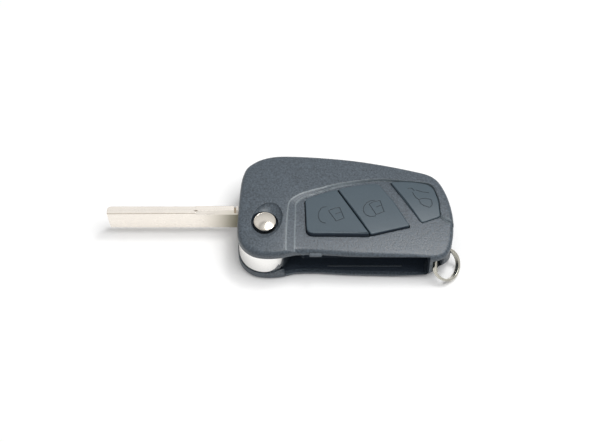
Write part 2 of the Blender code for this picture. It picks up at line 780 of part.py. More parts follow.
def slot_nub():
    # The small rounded catch on the rim of the slot
    start, end = (share * TAIL_REACH for share in NUB_SHARES)
    nub = block(
        "slot_nub",
        (start, -FRONT_REACH, UPPER_SLOT_LIP - GAP),
        (end, -FRONT_REACH + WALL * 2, UPPER_SLOT_LIP + NUB_HEIGHT))
    return round_edges(nub, NUB_HEIGHT / 3, lambda edge: True, SMALL_ROUND_STEPS)


# Caps, mat and board

def cap_loop(shares, inset=0):
    corners = inset_loop([spot(x, y) for x, y, rounding in shares], inset)
    return rounded_loop([(corner, row[2] * CAP_CORNER) for corner, row in zip(corners, shares)])


def cap_low(loop):
    # The tabs stay under the lowest part of the ceiling above the cap
    tail = max(point.x for point in loop)
    front = min(point.y for point in loop)
    return CEILING_HEIGHT + crown_drop(tail, front) - GAP - CAP_TAB


def button_cap(name, shares, spot_shares, proud, tabs):
    place = spot(*spot_shares)
    loop = cap_loop(shares)
    low = cap_low(loop)
    high = PANEL_HEIGHT + proud
    cap = round_edges(slab(name, loop, low, high), CAP_ROUND, top_rim, SMALL_ROUND_STEPS)
    follow_crown(cap, high, CAP_ROUND)
    room = slab(f"{name}_room", cap_loop(shares, CAP_WALL), low - OVERRUN, CEILING_HEIGHT)
    follow_crown(room, CEILING_HEIGHT, 0)
    post = upright(f"{name}_post", CAP_POST, place, MAT_TOP + CAP_TRAVEL + GAP, high + OVERRUN, SMALL_SIDES)
    cut(room, post)
    cut(cap, room)
    cut(cap, front_ledge(f"{name}_notch", low, CAP_TRAVEL + GAP))
    for number, (share_x, share_y, way) in enumerate(tabs):
        edge = spot(share_x, share_y)
        inner = edge - Vector(way) * WALL
        outer = edge + Vector(way) * (CAP_GAP + CAP_TAB)
        along = Vector((abs(way[1]), abs(way[0]), 0)) * CAP_TAB_WIDTH / 2
        corners = [inner - along, inner + along, outer - along, outer + along]
        across = [corner.x for corner in corners]
        deep = [corner.y for corner in corners]
        start = Vector((min(across), min(deep), low))
        end = Vector((max(across), max(deep), low + CAP_TAB))
        joined(cap, block(f"{name}_tab_{number}", start, end))
    return set_origin(as_part(cap, name, "cap_plastic"), place)


def keypad_mat():
    mat = board_outline("keypad_mat", MAT_LOW, MAT_LOW + MAT_THICK, MAT_INSET)
    cavity = SWITCH_SIZE * math.sqrt(2) / 2 + GAP
    for name, shares in switch_spots().items():
        place = spot(*shares)
        joined(mat, upright(f"{name}_dome", cavity + DOME_WALL, place, MAT_LOW, MAT_TOP, SMALL_SIDES))
    for name, shares in switch_spots().items():
        place = spot(*shares)
        ceiling = MAT_TOP - DOME_WALL
        cut(mat, upright(f"{name}_cavity", cavity, place, MAT_LOW - OVERRUN, ceiling, SMALL_SIDES))
    for name, place, half in board_parts():
        room = half + Vector((GAP, GAP, 0))
        low = place - room + Vector((0, 0, MAT_LOW - OVERRUN))
        cut(mat, block(f"{name}_window", low, place + room + Vector((0, 0, MAT_TOP))))
    for name, place in screw_places().items():
        hole = upright(f"{name}_mat_hole", SCREW_BOSS + GAP, place, MAT_LOW - OVERRUN, MAT_TOP, SMALL_SIDES)
        cut(mat, hole)
    return as_part(mat, "keypad_mat", "mat_rubber")


def switch_spots():
    return {
        "unlock_switch": UNLOCK_SPOT_SHARES,
        "lock_switch": LOCK_SPOT_SHARES,
        "boot_switch": BOOT_SPOT_SHARES,
    }


def board_parts():
    chip = Vector((CHIP_LENGTH / 2, CHIP_WIDTH / 2, 0))
    crystal = Vector((CRYSTAL_LENGTH / 2, CRYSTAL_WIDTH / 2, 0))
    return [
        ("controller_chip", spot(*CHIP_SPOT_SHARES), chip),
        ("radio_crystal", spot(*CRYSTAL_SPOT_SHARES), crystal),
    ]


def board_outline(name, low, high, inset):
    board = case_slab(name, WALL + GAP + inset, low, high)
    chamber = CHAMBER_RADIUS + CHAMBER_WALL + GAP + inset
    cut(board, rod(f"{name}_nose_cut", chamber, (0, 0, low - OVERRUN), (0, 0, high + OVERRUN)))
    front = SLOT_WALL - SLOT_BACK + GAP + inset
    far = TAIL_REACH * 2
    cut(board, block(f"{name}_front_cut", (-far, -far, low - OVERRUN), (far, front, high + OVERRUN)))
    cut(board, block(f"{name}_left_cut", (-far, -far, low - OVERRUN), (chamber, far, high + OVERRUN)))
    boss = TUNNEL_RADIUS + CORNER_WALL + GAP + inset
    return cut(board, upright(f"{name}_corner_cut", boss, POST_PLACE, low - OVERRUN, high + OVERRUN))


def circuit_board():
    board = board_outline("circuit_board", BOARD_HEIGHT, BOARD_TOP, 0)
    place = screw_places()["tail_screw"]
    low = BOARD_HEIGHT - OVERRUN
    hole = upright("board_hole", SCREW_BOSS + GAP, place, low, BOARD_TOP + OVERRUN, SMALL_SIDES)
    return as_part(cut(board, hole), "circuit_board", "board")


def tact_switch(name, shares):
    place = spot(*shares)
    half = Vector((SWITCH_SIZE / 2, SWITCH_SIZE / 2, 0))
    low = Vector((0, 0, BOARD_TOP + GAP))
    body = block(name, place - half + low, place + half + low + Vector((0, 0, SWITCH_HEIGHT)))
    stem_top = BOARD_TOP + GAP + SWITCH_HEIGHT + SWITCH_STEM_RISE
    stem = upright(f"{name}_stem", SWITCH_STEM, place, BOARD_TOP + GAP * 2, stem_top, SMALL_SIDES)
    return as_part(joined(body, stem), name, "contact_metal")


def board_chips():
    finishes = {"controller_chip": "chip_plastic", "radio_crystal": "contact_metal"}
    for name, place, half in board_parts():
        low = Vector((0, 0, BOARD_TOP + GAP))
        chip = block(name, place - half + low, place + half + low + Vector((0, 0, CHIP_HEIGHT)))
        as_part(chip, name, finishes[name])


def transponder_chip():
    place = spot(*TRANSPONDER_SPOT_SHARES)
    half = Vector((TRANSPONDER_LENGTH / 2, TRANSPONDER_WIDTH / 2, 0))
    low = Vector((0, 0, FLOOR + GAP))
    height = Vector((0, 0, TRANSPONDER_HEIGHT))
    chip = block("transponder_chip", place - half + low, place + half + low + height)
    round_edges(chip, TRANSPONDER_HEIGHT / 6, lambda edge: True, SMALL_ROUND_STEPS)
    return as_part(chip, "transponder_chip", "chip_plastic")


def coin_cell():
    place = spot(*CELL_SPOT_SHARES)
    rim = CELL_HEIGHT / 10
    cell = turned("coin_cell", [
        (0, CELL_TOP), (CELL_RADIUS - rim * 4, CELL_TOP), (CELL_RADIUS - rim * 3, CELL_TOP - rim),
        (CELL_RADIUS - rim, CELL_TOP - rim), (CELL_RADIUS, CELL_TOP - rim * 2), (CELL_RADIUS, CELL_LOW + rim),
        (CELL_RADIUS - rim, CELL_LOW), (0, CELL_LOW)])
    baked(cell).data.transform(Matrix.Translation(place))
    return as_part(cell, "coin_cell", "cell_steel")


def battery_clip():
    # A strap under the cell, with two legs up to the board
    place = spot(*CELL_SPOT_SHARES)
    reach = CELL_RADIUS + GAP
    high = BOARD_HEIGHT - GAP
    low = CELL_LOW - GAP
    depth = STRAP_WIDTH / 2
    solid = block(
        "battery_clip",
        (place.x - reach - STRAP_THICK, place.y - depth, low - STRAP_THICK),
        (place.x + reach + STRAP_THICK, place.y + depth, high))
    room = block(
        "clip_room",
        (place.x - reach, place.y - depth - OVERRUN, low),
        (place.x + reach, place.y + depth + OVERRUN, high + OVERRUN))
    return as_part(cut(solid, room), "battery_clip", "contact_metal")


def negative_contact():
    # A sprung disc between the cell and the board
    place = spot(*CELL_SPOT_SHARES)
    low = BOARD_HEIGHT - GAP - STRAP_THICK
    disc = upright("negative_contact", STRAP_WIDTH / 2, place, low, BOARD_HEIGHT - GAP, SMALL_SIDES)
    return as_part(disc, "negative_contact", "contact_metal")


# Hub, blade and release

def hub_loop():
    side = NOSE_RADIUS - GAP
    nose = arc(Vector((0, NOSE_CENTRE, 0)), side, math.pi, math.pi * 2, HUB_STEPS)
    corner = Vector((side - HUB_CORNER, HUB_REAR - HUB_CORNER, 0))
    return nose + arc(corner, HUB_CORNER, 0, math.pi / 2, HUB_STEPS // 3) + [Vector((-side, HUB_REAR, 0))]


def blade_hub():
    hub = slab("blade_hub", hub_loop(), HUB_LOW, HUB_TOP)
    joined(hub, rod("hub_collar", COLLAR_RADIUS, (0, 0, HUB_TOP - HUB_FLOOR), (0, 0, COLLAR_TOP)))
    cut(hub, rod("hub_bore", HUB_BORE, (0, 0, HUB_INNER_FLOOR), (0, 0, COLLAR_TOP + OVERRUN)))
    cut(hub, rod("hub_shaft_hole", RELEASE_SHAFT + GAP, (0, 0, 0), (0, 0, HUB_TOP)))
    cut(hub, rod("hub_underside", BOSS_RADIUS + GAP, (0, 0, 0), (0, 0, BOSS_HEIGHT + GAP)))
    pocket_end = TANG_LENGTH + GAP - NOSE_RADIUS
    cut(hub, block(
        "tang_pocket",
        (-2 * NOSE_RADIUS, BLADE_OFFSET - GAP, HUB_LOW + TANG_INSET - GAP),
        (pocket_end, BLADE_OFFSET + BLADE_THICK + GAP, HUB_TOP - TANG_INSET + GAP)))
    cut(hub, pin_rod("hub_pin_hole", PIN_RADIUS + GAP, HUB_REAR + OVERRUN))
    return as_part(hub, "blade_hub", "hub_chrome")


def pin_rod(name, radius, rear):
    middle = HUB_LOW + HUB_HEIGHT / 2
    across = -NOSE_RADIUS * PIN_PLACE_SHARE
    front = BLADE_OFFSET - BLADE_THICK / 2
    return rod(name, radius, (across, front, middle), (across, rear, middle), SMALL_SIDES)


def key_blade():
    # The outline is drawn from the side, x and height, then stood up at its place behind the pivot
    tip = -BLADE_REACH
    base = -NOSE_RADIUS - GAP / 2
    rows = [
        (tip, HUB_LOW + BLADE_TIP_DROP * 3), (tip + BLADE_TIP_DROP * 3, HUB_LOW), (base, HUB_LOW),
        (base, HUB_TOP), (tip + BLADE_TIP_DROP * 3, HUB_TOP - BLADE_TIP_DROP),
        (tip, HUB_TOP - BLADE_TIP_DROP * 3),
    ]
    blade = slab("key_blade", [Vector((x, z, 0)) for x, z in rows], 0, BLADE_THICK)
    blade.data.transform(Matrix.Rotation(math.pi / 2, 4, "X"))
    blade.data.transform(Matrix.Translation((0, BLADE_OFFSET + BLADE_THICK, 0)))
    round_edges(blade, BLADE_BEVEL, lambda edge: is_long_blade_edge(edge, base), SMALL_ROUND_STEPS)
    side = BLADE_BEVEL / 4
    joined(blade, block(
        "tang",
        (base - BLADE_THICK, BLADE_OFFSET + side, HUB_LOW + TANG_INSET),
        (TANG_LENGTH - NOSE_RADIUS, BLADE_OFFSET + BLADE_THICK - side, HUB_TOP - TANG_INSET)))
    neck = base - BLADE_NECK
    cut(blade, block(
        "blade_step",
        (tip - OVERRUN, BLADE_OFFSET + BLADE_THICK / 2, HUB_TOP - BLADE_LEDGE),
        (neck, BLADE_OFFSET + BLADE_THICK + OVERRUN, HUB_TOP + OVERRUN)))
    cut(blade, pin_rod("blade_pin_hole", PIN_RADIUS + GAP, HUB_REAR + OVERRUN))
    return as_part(blade, "key_blade", "blade_steel")


def is_long_blade_edge(edge, base):
    start, end = (corner.co for corner in edge.verts)
    return min(start.x, end.x) < base - NEAR and abs(start.y - end.y) < NEAR


def blade_pin():
    return as_part(pin_rod("blade_pin", PIN_RADIUS, HUB_REAR - GAP), "blade_pin", "screw_steel")


def release_button():
    flange_low = RELEASE_TOP - FLANGE_THICK
    base = CROWN_HEIGHT - DOME_SINK
    shaft_low = BOSS_HEIGHT - SHAFT_BELOW
    angles = [step * math.pi / 2 / DOME_STEPS for step in range(DOME_STEPS + 1)]
    profile = [(DOME_RADIUS * math.sin(angle), base + DOME_RISE * math.cos(angle)) for angle in angles]
    profile += [
        (DOME_RADIUS, RELEASE_TOP), (RELEASE_FLANGE, RELEASE_TOP), (RELEASE_FLANGE, flange_low),
        (RELEASE_SHAFT, flange_low), (RELEASE_SHAFT, shaft_low), (0, shaft_low),
    ]
    return as_part(turned("release_button", profile), "release_button", "button_nickel")


def coil_points(radius, low, high, turns, sides):
    count = turns * sides
    points = []
    for step in range(count + 1):
        angle = 2 * math.pi * step / sides
        height = low + (high - low) * step / count
        points.append((radius * math.cos(angle), radius * math.sin(angle), height))
    return points


def wire(name, points):
    curve = bpy.data.curves.new(name, "CURVE")
    curve.dimensions = "3D"
    curve.bevel_resolution = 2
    curve.use_fill_caps = True
    curve.twist_mode = "Z_UP"
    spline = curve.splines.new("POLY")
    spline.points.add(len(points) - 1)
    for knot, point in zip(spline.points, points):
        knot.co = (*point, 1)
    return curve


def flip_spring():
    low = HUB_INNER_FLOOR + GAP + SPRING_WIRE
    high = RELEASE_TOP - FLANGE_THICK - GAP - SPRING_WIRE
    curve = wire("flip_spring", coil_points(SPRING_RADIUS, low, high, SPRING_TURNS, SPRING_SIDES))
    curve.bevel_depth = SPRING_WIRE
    spring = from_curve("flip_spring", add_shape("flip_spring", curve))
    return as_part(spring, "flip_spring", "screw_steel")


# Split ring

def ring_frame():
    # Outward is the way from the post to the free side of the ring, at rest on the table
    level = Vector((math.cos(RING_AZIMUTH), math.sin(RING_AZIMUTH), 0))
    outward = level * math.cos(RING_TILT) - Vector((0, 0, math.sin(RING_TILT)))
    across = Vector((0, 0, 1)).cross(level)
    return level, outward, across, outward.cross(across)


def ring_hinge():
    level = ring_frame()[0]
    half_stack = RING_THICK + RING_SLIT / 2
    # How far the tilted band reaches level towards the post, and down to the table
    level_half = RING_BAND / 2 * math.cos(RING_TILT) + half_stack * math.sin(RING_TILT)
    down_half = RING_BAND / 2 * math.sin(RING_TILT) + half_stack * math.cos(RING_TILT)
    place = POST_PLACE - level * (POST_RADIUS + GAP + level_half)
    place.z = TABLE_GAP + down_half + 2 * RING_RADIUS * math.sin(RING_TILT)
    return place


def ring_points():
    # Two flat turns with a short crossing from the lower to the upper one
    pitch = RING_THICK + RING_SLIT
    points = []
    for step in range(RING_CROSSING // 2 + 1, 2 * RING_SIDES - RING_CROSSING // 2):
        angle = RING_CROSSING_ANGLE + 2 * math.pi * step / RING_SIDES
        climb = (step - RING_SIDES) / RING_CROSSING
        height = max(-0.5, min(0.5, climb)) * pitch
        points.append((RING_RADIUS * math.cos(angle), RING_RADIUS * math.sin(angle), height))
    return points


def split_ring():
    outward, across, normal = ring_frame()[1:]
    band = bpy.data.curves.new("ring_band", "CURVE")
    band.dimensions = "2D"
    spline = band.splines.new("POLY")
    spline.points.add(3)
    half_band = RING_BAND / 2
    half_thick = RING_THICK / 2
    for knot, (side, up) in zip(spline.points, ((-1, -1), (1, -1), (1, 1), (-1, 1))):
        knot.co = (side * half_band, up * half_thick, 0, 1)
    spline.use_cyclic_u = True
    profile = add_shape("ring_band", band)
    curve = wire("split_ring", ring_points())
    curve.bevel_mode = "OBJECT"
    curve.bevel_object = profile
    ring = from_curve("split_ring", add_shape("split_ring", curve))
    bpy.data.objects.remove(profile)
    place = ring_hinge()
    turn = Matrix((outward, across, normal)).transposed().to_4x4()
    ring.data.transform(Matrix.Translation(place + outward * RING_RADIUS) @ turn)
    return set_origin(as_part(ring, "split_ring", "ring_steel"), place)


def case_screw(name, place):
    head_low = SCREW_SINK
    head_top = head_low + SCREW_HEAD_HEIGHT
    tip = head_top + SCREW_LENGTH
    profile = [
        (0, tip), (SCREW_RADIUS / 2, tip), (SCREW_RADIUS, tip - SCREW_RADIUS), (SCREW_RADIUS, head_top),
        (SCREW_HEAD, head_top), (SCREW_HEAD, head_low + SCREW_HEAD_HEIGHT / 3),
        (SCREW_HEAD * 2 / 3, head_low), (0, head_low),
    ]
    screw = baked(turned(name, profile, SMALL_SIDES))
    half = SCREW_HEAD / 2
    depth = head_low + SCREW_HEAD_HEIGHT * 2 / 3
    for number, (x, y) in enumerate(((half, SCREW_SLOT / 2), (SCREW_SLOT / 2, half))):
        cut(screw, block(f"{name}_slot_{number}", (-x, -y, head_low - OVERRUN), (x, y, depth)))
    baked(screw).data.transform(Matrix.Translation(place))
    return as_part(screw, name, "screw_steel")


def carry(name, place, children):
    # An empty on the joint's axis carries the pieces that turn together
    pivot = bpy.data.objects.new(name, None)
    pivot.location = place
    parts.objects.link(pivot)
    for child in children:
        child.parent = pivot


def build():
    clear_scene()
    bottom_shell()
    top_shell()
    button_cap("unlock_button", UNLOCK_SHARES, UNLOCK_SPOT_SHARES, UNLOCK_PROUD, UNLOCK_TAB_SHARES)
    button_cap("lock_button", LOCK_SHARES, LOCK_SPOT_SHARES, LOCK_PROUD, LOCK_TAB_SHARES)
    button_cap("boot_button", BOOT_SHARES, BOOT_SPOT_SHARES, BOOT_PROUD, BOOT_TAB_SHARES)
    keypad_mat()
    circuit_board()
    for name, shares in switch_spots().items():
        tact_switch(name, shares)
    board_chips()
    transponder_chip()
    coin_cell()
    battery_clip()
    negative_contact()
    carry("blade_pivot", (0, 0, 0), [blade_hub(), key_blade(), blade_pin()])
    release_button()
    flip_spring()
    split_ring()
    for name, place in screw_places().items():
        case_screw(name, place)


build()
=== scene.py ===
# Looks of the folding car remote key. Shapes are drawn in millimetres and turned into metres at the end.
import math

import bmesh
import bpy
from mathutils import Matrix, Vector
from mathutils.geometry import interpolate_bezier


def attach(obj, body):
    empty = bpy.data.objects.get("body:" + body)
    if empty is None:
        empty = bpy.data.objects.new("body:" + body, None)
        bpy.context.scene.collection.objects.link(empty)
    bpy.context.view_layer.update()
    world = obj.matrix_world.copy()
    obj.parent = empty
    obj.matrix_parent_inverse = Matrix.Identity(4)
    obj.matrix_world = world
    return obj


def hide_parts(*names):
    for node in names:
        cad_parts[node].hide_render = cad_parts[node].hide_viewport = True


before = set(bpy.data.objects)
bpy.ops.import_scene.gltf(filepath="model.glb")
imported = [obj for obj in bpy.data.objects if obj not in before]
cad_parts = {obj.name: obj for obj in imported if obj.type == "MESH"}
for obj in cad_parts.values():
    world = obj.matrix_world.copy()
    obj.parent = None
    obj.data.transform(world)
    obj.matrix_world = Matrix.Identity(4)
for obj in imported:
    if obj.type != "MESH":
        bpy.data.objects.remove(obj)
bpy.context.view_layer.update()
millimetre = 0.001
print("frame loaded")


# Camera

photoView = {
    "place": (0.009869, -0.259720, 0.401442), "tilt": 34.0, "lens": 85.57, "sensor": 36.0,
    "nearest": 0.01, "farthest": 20.0,
}


def placed(name, data):
    made = bpy.data.objects.new(name, data)
    bpy.context.scene.collection.objects.link(made)
    return made


def makeCamera():
    data = bpy.data.cameras.new("photoCamera")
    data.lens = photoView["lens"]
    data.sensor_width = photoView["sensor"]
    data.clip_start = photoView["nearest"]
    data.clip_end = photoView["farthest"]
    camera = placed("photoCamera", data)
    camera.location = photoView["place"]
    camera.rotation_euler = (math.radians(photoView["tilt"]), 0, 0)
    bpy.context.scene.camera = camera


makeCamera()
print("camera placed")


# Shader helpers

# Detail and roughness of each noise, whose middle is 0.5
noises = {"grain": (2.5, 0.55), "cloud": (2.0, 0.55), "brush": (3.0, 0.6), "smudge": (2.0, 0.55)}
samples = {"edge": 6, "floor": 16}


class Socket:
    # A node's output that can be used in sums
    def __init__(self, look, source):
        self.look = look
        self.source = source

    def maths(self, operation, first, second):
        return self.look.add("ShaderNodeMath", {"operation": operation}, {0: first, 1: second})

    def __add__(self, other):
        return self.maths("ADD", self, other)

    def __sub__(self, other):
        return self.maths("SUBTRACT", self, other)

    def __rsub__(self, other):
        return self.maths("SUBTRACT", other, self)

    def __mul__(self, other):
        return self.maths("MULTIPLY", self, other)

    __radd__ = __add__
    __rmul__ = __mul__


class Look:
    # A node tree with one method that makes every node
    def __init__(self, holder):
        holder.use_nodes = True
        self.holder = holder
        self.tree = holder.node_tree
        self.tree.nodes.clear()

    def add(self, kind, settings=None, inputs=None, out=0):
        made = self.tree.nodes.new(kind)
        for key, value in (settings or {}).items():
            if key == "stops":
                for spare in range(len(value) - 2):
                    made.color_ramp.elements.new(0.5)
                for element, (place, tone) in zip(made.color_ramp.elements, value):
                    element.position = place
                    element.color = tone
            else:
                setattr(made, key, value)
        for key, value in (inputs or {}).items():
            if isinstance(value, Socket):
                self.tree.links.new(value.source, made.inputs[key])
            else:
                made.inputs[key].default_value = value
        return Socket(self, made.outputs[out]) if len(made.outputs) else made

    def place(self):
        return self.add("ShaderNodeTexCoord", out="Object")

    def ray(self, kind):
        return self.add("ShaderNodeLightPath", out=f"Is {kind} Ray")

    def stretched(self, scale):
        return self.add("ShaderNodeMapping", inputs={"Vector": self.place(), "Scale": scale})

    def noise(self, kind, place, scale):
        detail, rough = noises[kind]
        return self.add("ShaderNodeTexNoise", inputs={
            "Vector": place, "Scale": scale, "Detail": detail, "Roughness": rough})

    def mixed(self, factor, first, second):
        return self.add("ShaderNodeMix", {"data_type": "RGBA"}, {0: factor, 6: first, 7: second}, out=2)

    def shaded(self, colour, tone):
        colour = colour if isinstance(colour, Socket) else colour[:3]
        return self.add("ShaderNodeVectorMath", {"operation": "SCALE"}, {0: colour, "Scale": tone})

    def clamped(self, value):
        return self.add("ShaderNodeClamp", inputs={"Value": value})

    def rounded(self, radius):
        return self.add("ShaderNodeBevel", {"samples": samples["edge"]}, {"Radius": radius * millimetre})

    def edges(self, soft, gain):
        # White where the softened normal leaves the true one: along crisp edges and seams. The lighter colour
        # mixed in there is partly edge wear and partly painted highlight.
        normal = self.add("ShaderNodeNewGeometry", out="Normal")
        same = self.add(
            "ShaderNodeVectorMath", {"operation": "DOT_PRODUCT"}, {0: soft, 1: normal}, out="Value")
        return self.clamped((1 - same) * gain)

    def bump(self, height, strength, distance, normal):
        return self.add("ShaderNodeBump", inputs={
            "Height": height, "Strength": strength, "Distance": distance * millimetre, "Normal": normal})

    def surface(self, inputs):
        shader = self.add("ShaderNodeBsdfPrincipled", inputs=inputs)
        self.add("ShaderNodeOutputMaterial", inputs={"Surface": shader})
        return self.holder


def plasticLook(name, values):
    look = Look(bpy.data.materials.new(name))
    place = look.place()
    grain = look.noise("grain", place, values["grain"])
    cloud = look.noise("cloud", place, values["cloud"])
    soft = look.rounded(values["round"])
    edge = look.edges(soft, values["edgeGain"])
    tone = 1 + (grain - 0.5) * values["speckle"] + (cloud - 0.5) * values["patch"]
    # Edges take the lighter colour: partly edge wear, partly painted highlight
    colour = look.mixed(edge, values["colour"], values["edgeColour"])
    return look.surface({
        "Base Color": look.shaded(colour, tone),
        "Roughness": (grain - 0.5) * values["roughVary"] + values["rough"],
        "Specular IOR Level": values["specular"],
        "Normal": look.bump(grain, values["bump"], values["bumpDepth"], soft),
    })


def metalLook(name, values):
    # Metal with fine brush lines along the stretched direction and a few faint smudges
    look = Look(bpy.data.materials.new(name))
    lines = look.noise("brush", look.stretched(values["brush"]), 1.0)
    smudge = look.noise("smudge", look.place(), values["smudge"])
    soft = look.rounded(values["round"])
    tone = 1 + (lines - 0.5) * values["streak"] + (smudge - 0.5) * values["patch"]
    rough = (lines - 0.5) * values["roughVary"] + (smudge - 0.5) * values["roughVary"] + values["rough"]
    colour = values["colour"]
    # Painted shade and reflection where the values hold a colour for it
    if "ground" in values:
        ground = hubShadeMask(look, values)
        colour = look.mixed(ground, colour, values["ground"])
        rough = rough + ground * values["groundRough"]
    return look.surface({
        "Base Color": look.shaded(colour, tone), "Roughness": rough, "Metallic": 1.0,
        "Normal": look.bump(lines, values["bump"], values["bumpDepth"], soft),
    })


def hubShadeMask(look, values):
    # Painted shade and reflection: the flank that faces forwards grows darker and rougher towards the hub,
    # standing in for the case's shade and dark reflection there
    along = look.add("ShaderNodeSeparateXYZ", inputs={0: look.place()}, out="X")
    normal = look.add("ShaderNodeNewGeometry", out="Normal")
    facing = look.add("ShaderNodeSeparateXYZ", inputs={0: normal}, out="Y")
    start = values["groundStart"] * millimetre
    long = values["groundLong"] * millimetre
    ramp = look.clamped((along - start) * (1 / long))
    return ramp * ramp * look.clamped(facing * -1)


caseLook = {
    "colour": (0.064, 0.083, 0.103, 1), "edgeColour": (0.15, 0.17, 0.185, 1), "edgeGain": 2.0, "round": 0.28,
    "grain": 1700.0, "cloud": 260.0, "speckle": 2.2, "patch": 0.10, "rough": 0.36, "roughVary": 0.35,
    "specular": 0.55, "bump": 0.9, "bumpDepth": 0.08,
}
# Lighter plastic for the thin strips at the foot and the brink of the ridge's slope: painted highlight
ridgeHighlightLook = dict(caseLook, speckle=0.9, colour=(0.15, 0.18, 0.20, 1), edgeColour=(0.18, 0.21, 0.23, 1))
capLook = {
    "colour": (0.052, 0.079, 0.100, 1), "edgeColour": (0.090, 0.120, 0.145, 1), "edgeGain": 1.4,
    "round": 0.16, "grain": 2800.0, "cloud": 180.0, "speckle": 0.30, "patch": 0.10, "rough": 0.42,
    "roughVary": 0.12, "specular": 0.5, "bump": 0.3, "bumpDepth": 0.03,
}
# Near-black plastic for the pictogram grooves: painted shade
strokeShadeLook = dict(capLook, colour=(0.016, 0.026, 0.034, 1), edgeColour=(0.03, 0.04, 0.05, 1))
# A darker copy of the case plastic for the slot, the hollows, the holes, the walls inside and the gaps round
# the caps and the dome: painted shade
slotShadeLook = dict(
    caseLook, colour=(0.036, 0.050, 0.070, 1), edgeColour=(0.07, 0.085, 0.10, 1), rough=0.5, speckle=0.5,
    specular=0.3)
# Lighter plastic with bright edges for the slot's rib and the catch: the bright edges are painted highlight
catchHighlightLook = dict(slotShadeLook, colour=(0.11, 0.13, 0.15, 1), edgeColour=(0.35, 0.38, 0.40, 1), edgeGain=4.0)
matLook = dict(capLook, colour=(0.05, 0.055, 0.06, 1), edgeColour=(0.07, 0.075, 0.08, 1), rough=0.7)
chipLook = dict(capLook, colour=(0.02, 0.02, 0.022, 1), edgeColour=(0.05, 0.05, 0.05, 1), rough=0.4)
boardLook = dict(capLook, colour=(0.012, 0.13, 0.05, 1), edgeColour=(0.16, 0.20, 0.08, 1), rough=0.3)
hubLook = {
    "colour": (0.91, 0.90, 0.875, 1), "brush": (300.0, 300.0, 300.0), "smudge": 220.0, "streak": 0.03,
    "patch": 0.05, "rough": 0.13, "roughVary": 0.06, "bump": 0.02, "bumpDepth": 0.01, "round": 0.15,
}
bladeLook = {
    "colour": (0.885, 0.83, 0.76, 1), "brush": (90.0, 2600.0, 2600.0), "smudge": 160.0, "streak": 0.10,
    "patch": 0.06, "rough": 0.27, "roughVary": 0.14, "bump": 0.10, "bumpDepth": 0.01, "round": 0.10,
}
# The blade's flank, with painted shade and reflection darkening it towards the hub
flankLook = dict(
    bladeLook, ground=(0.36, 0.34, 0.25, 1), groundRough=0.15, groundStart=-26.0, groundLong=16.5)
domeLook = dict(
    hubLook, colour=(0.66, 0.62, 0.56, 1), rough=0.17, roughVary=0.03, smudge=420.0, patch=0.08,
    bump=0.004, round=0.05)
ringLook = dict(hubLook, colour=(0.60, 0.58, 0.51, 1), rough=0.15, round=0.06)
# Darker brown steel for the notch, the dash and the rounding along the top front edge: painted shade
bladeShadeLineLook = dict(bladeLook, colour=(0.40, 0.33, 0.25, 1), rough=0.4)
screwLook = dict(bladeLook, colour=(0.55, 0.55, 0.55, 1), brush=(900.0, 900.0, 900.0))
cellLook = dict(bladeLook, colour=(0.75, 0.75, 0.76, 1), brush=(700.0, 700.0, 200.0), rough=0.22)
contactLook = dict(bladeLook, colour=(0.70, 0.66, 0.55, 1), brush=(900.0, 900.0, 900.0))

looks = {}
for make, rows in (
        (plasticLook, (
            ("case", "Plastic", caseLook), ("ridgeLine", "Plastic", ridgeHighlightLook),
            ("slot", "Plastic", slotShadeLook), ("catch", "Plastic", catchHighlightLook), ("cap", "Plastic", capLook),
            ("stroke", "Plastic", strokeShadeLook), ("mat", "Rubber", matLook), ("chip", "Plastic", chipLook),
            ("board", "Resin", boardLook))),
        (metalLook, (
            ("hub", "Chrome", hubLook), ("blade", "Steel", flankLook), ("bladeLine", "Steel", bladeShadeLineLook),
            ("dome", "Nickel", domeLook), ("ring", "Steel", ringLook), ("screw", "Steel", screwLook),
            ("cell", "Steel", cellLook), ("contact", "Metal", contactLook)))):
    for name, stuff, values in rows:
        looks[name] = make(name + stuff, values)
print("materials made")


# Outlines, in millimetres

case = {
    "tail": 63.0, "rear": 27.75, "front": 12.5, "nose": 9.1, "crown": 17.2, "crownRadius": 150.0,
    "crownLine": 9.49, "fall": 0.036, "noseLine": 7.0, "noseBow": 0.0040, "parting": 8.0, "seam": 0.2,
    "wall": 1.5, "topRound": 1.5, "panelDrop": 0.95, "slope": 3.3, "gap": 0.3, "over": 2.0,
    "outlineSteps": 5, "noseSteps": 4, "roundSteps": 6,
}
case["panel"] = case["crown"] - case["panelDrop"]
case["ceiling"] = case["panel"] - case["wall"]
outlineShares = [
    (0.057, -0.996), (0.100, -0.964), (0.129, -0.920), (0.162, -0.880), (0.476, -0.928), (0.794, -0.964),
    (0.897, -0.976), (0.948, -0.864), (0.971, -0.720), (0.984, -0.528), (0.994, -0.304), (1.000, 0.049),
    (0.987, 0.308), (0.961, 0.514), (0.932, 0.645), (0.902, 0.714), (0.870, 0.753), (0.806, 0.796),
    (0.644, 0.883), (0.481, 0.948), (0.317, 0.984), (0.143, 1.000), (0.056, 0.991), (-0.066, 0.955),
    (-0.407, 0.897), (-0.703, 0.807), (-0.813, 0.717), (-0.879, 0.623), (-0.934, 0.447), (-0.978, 0.180),
]
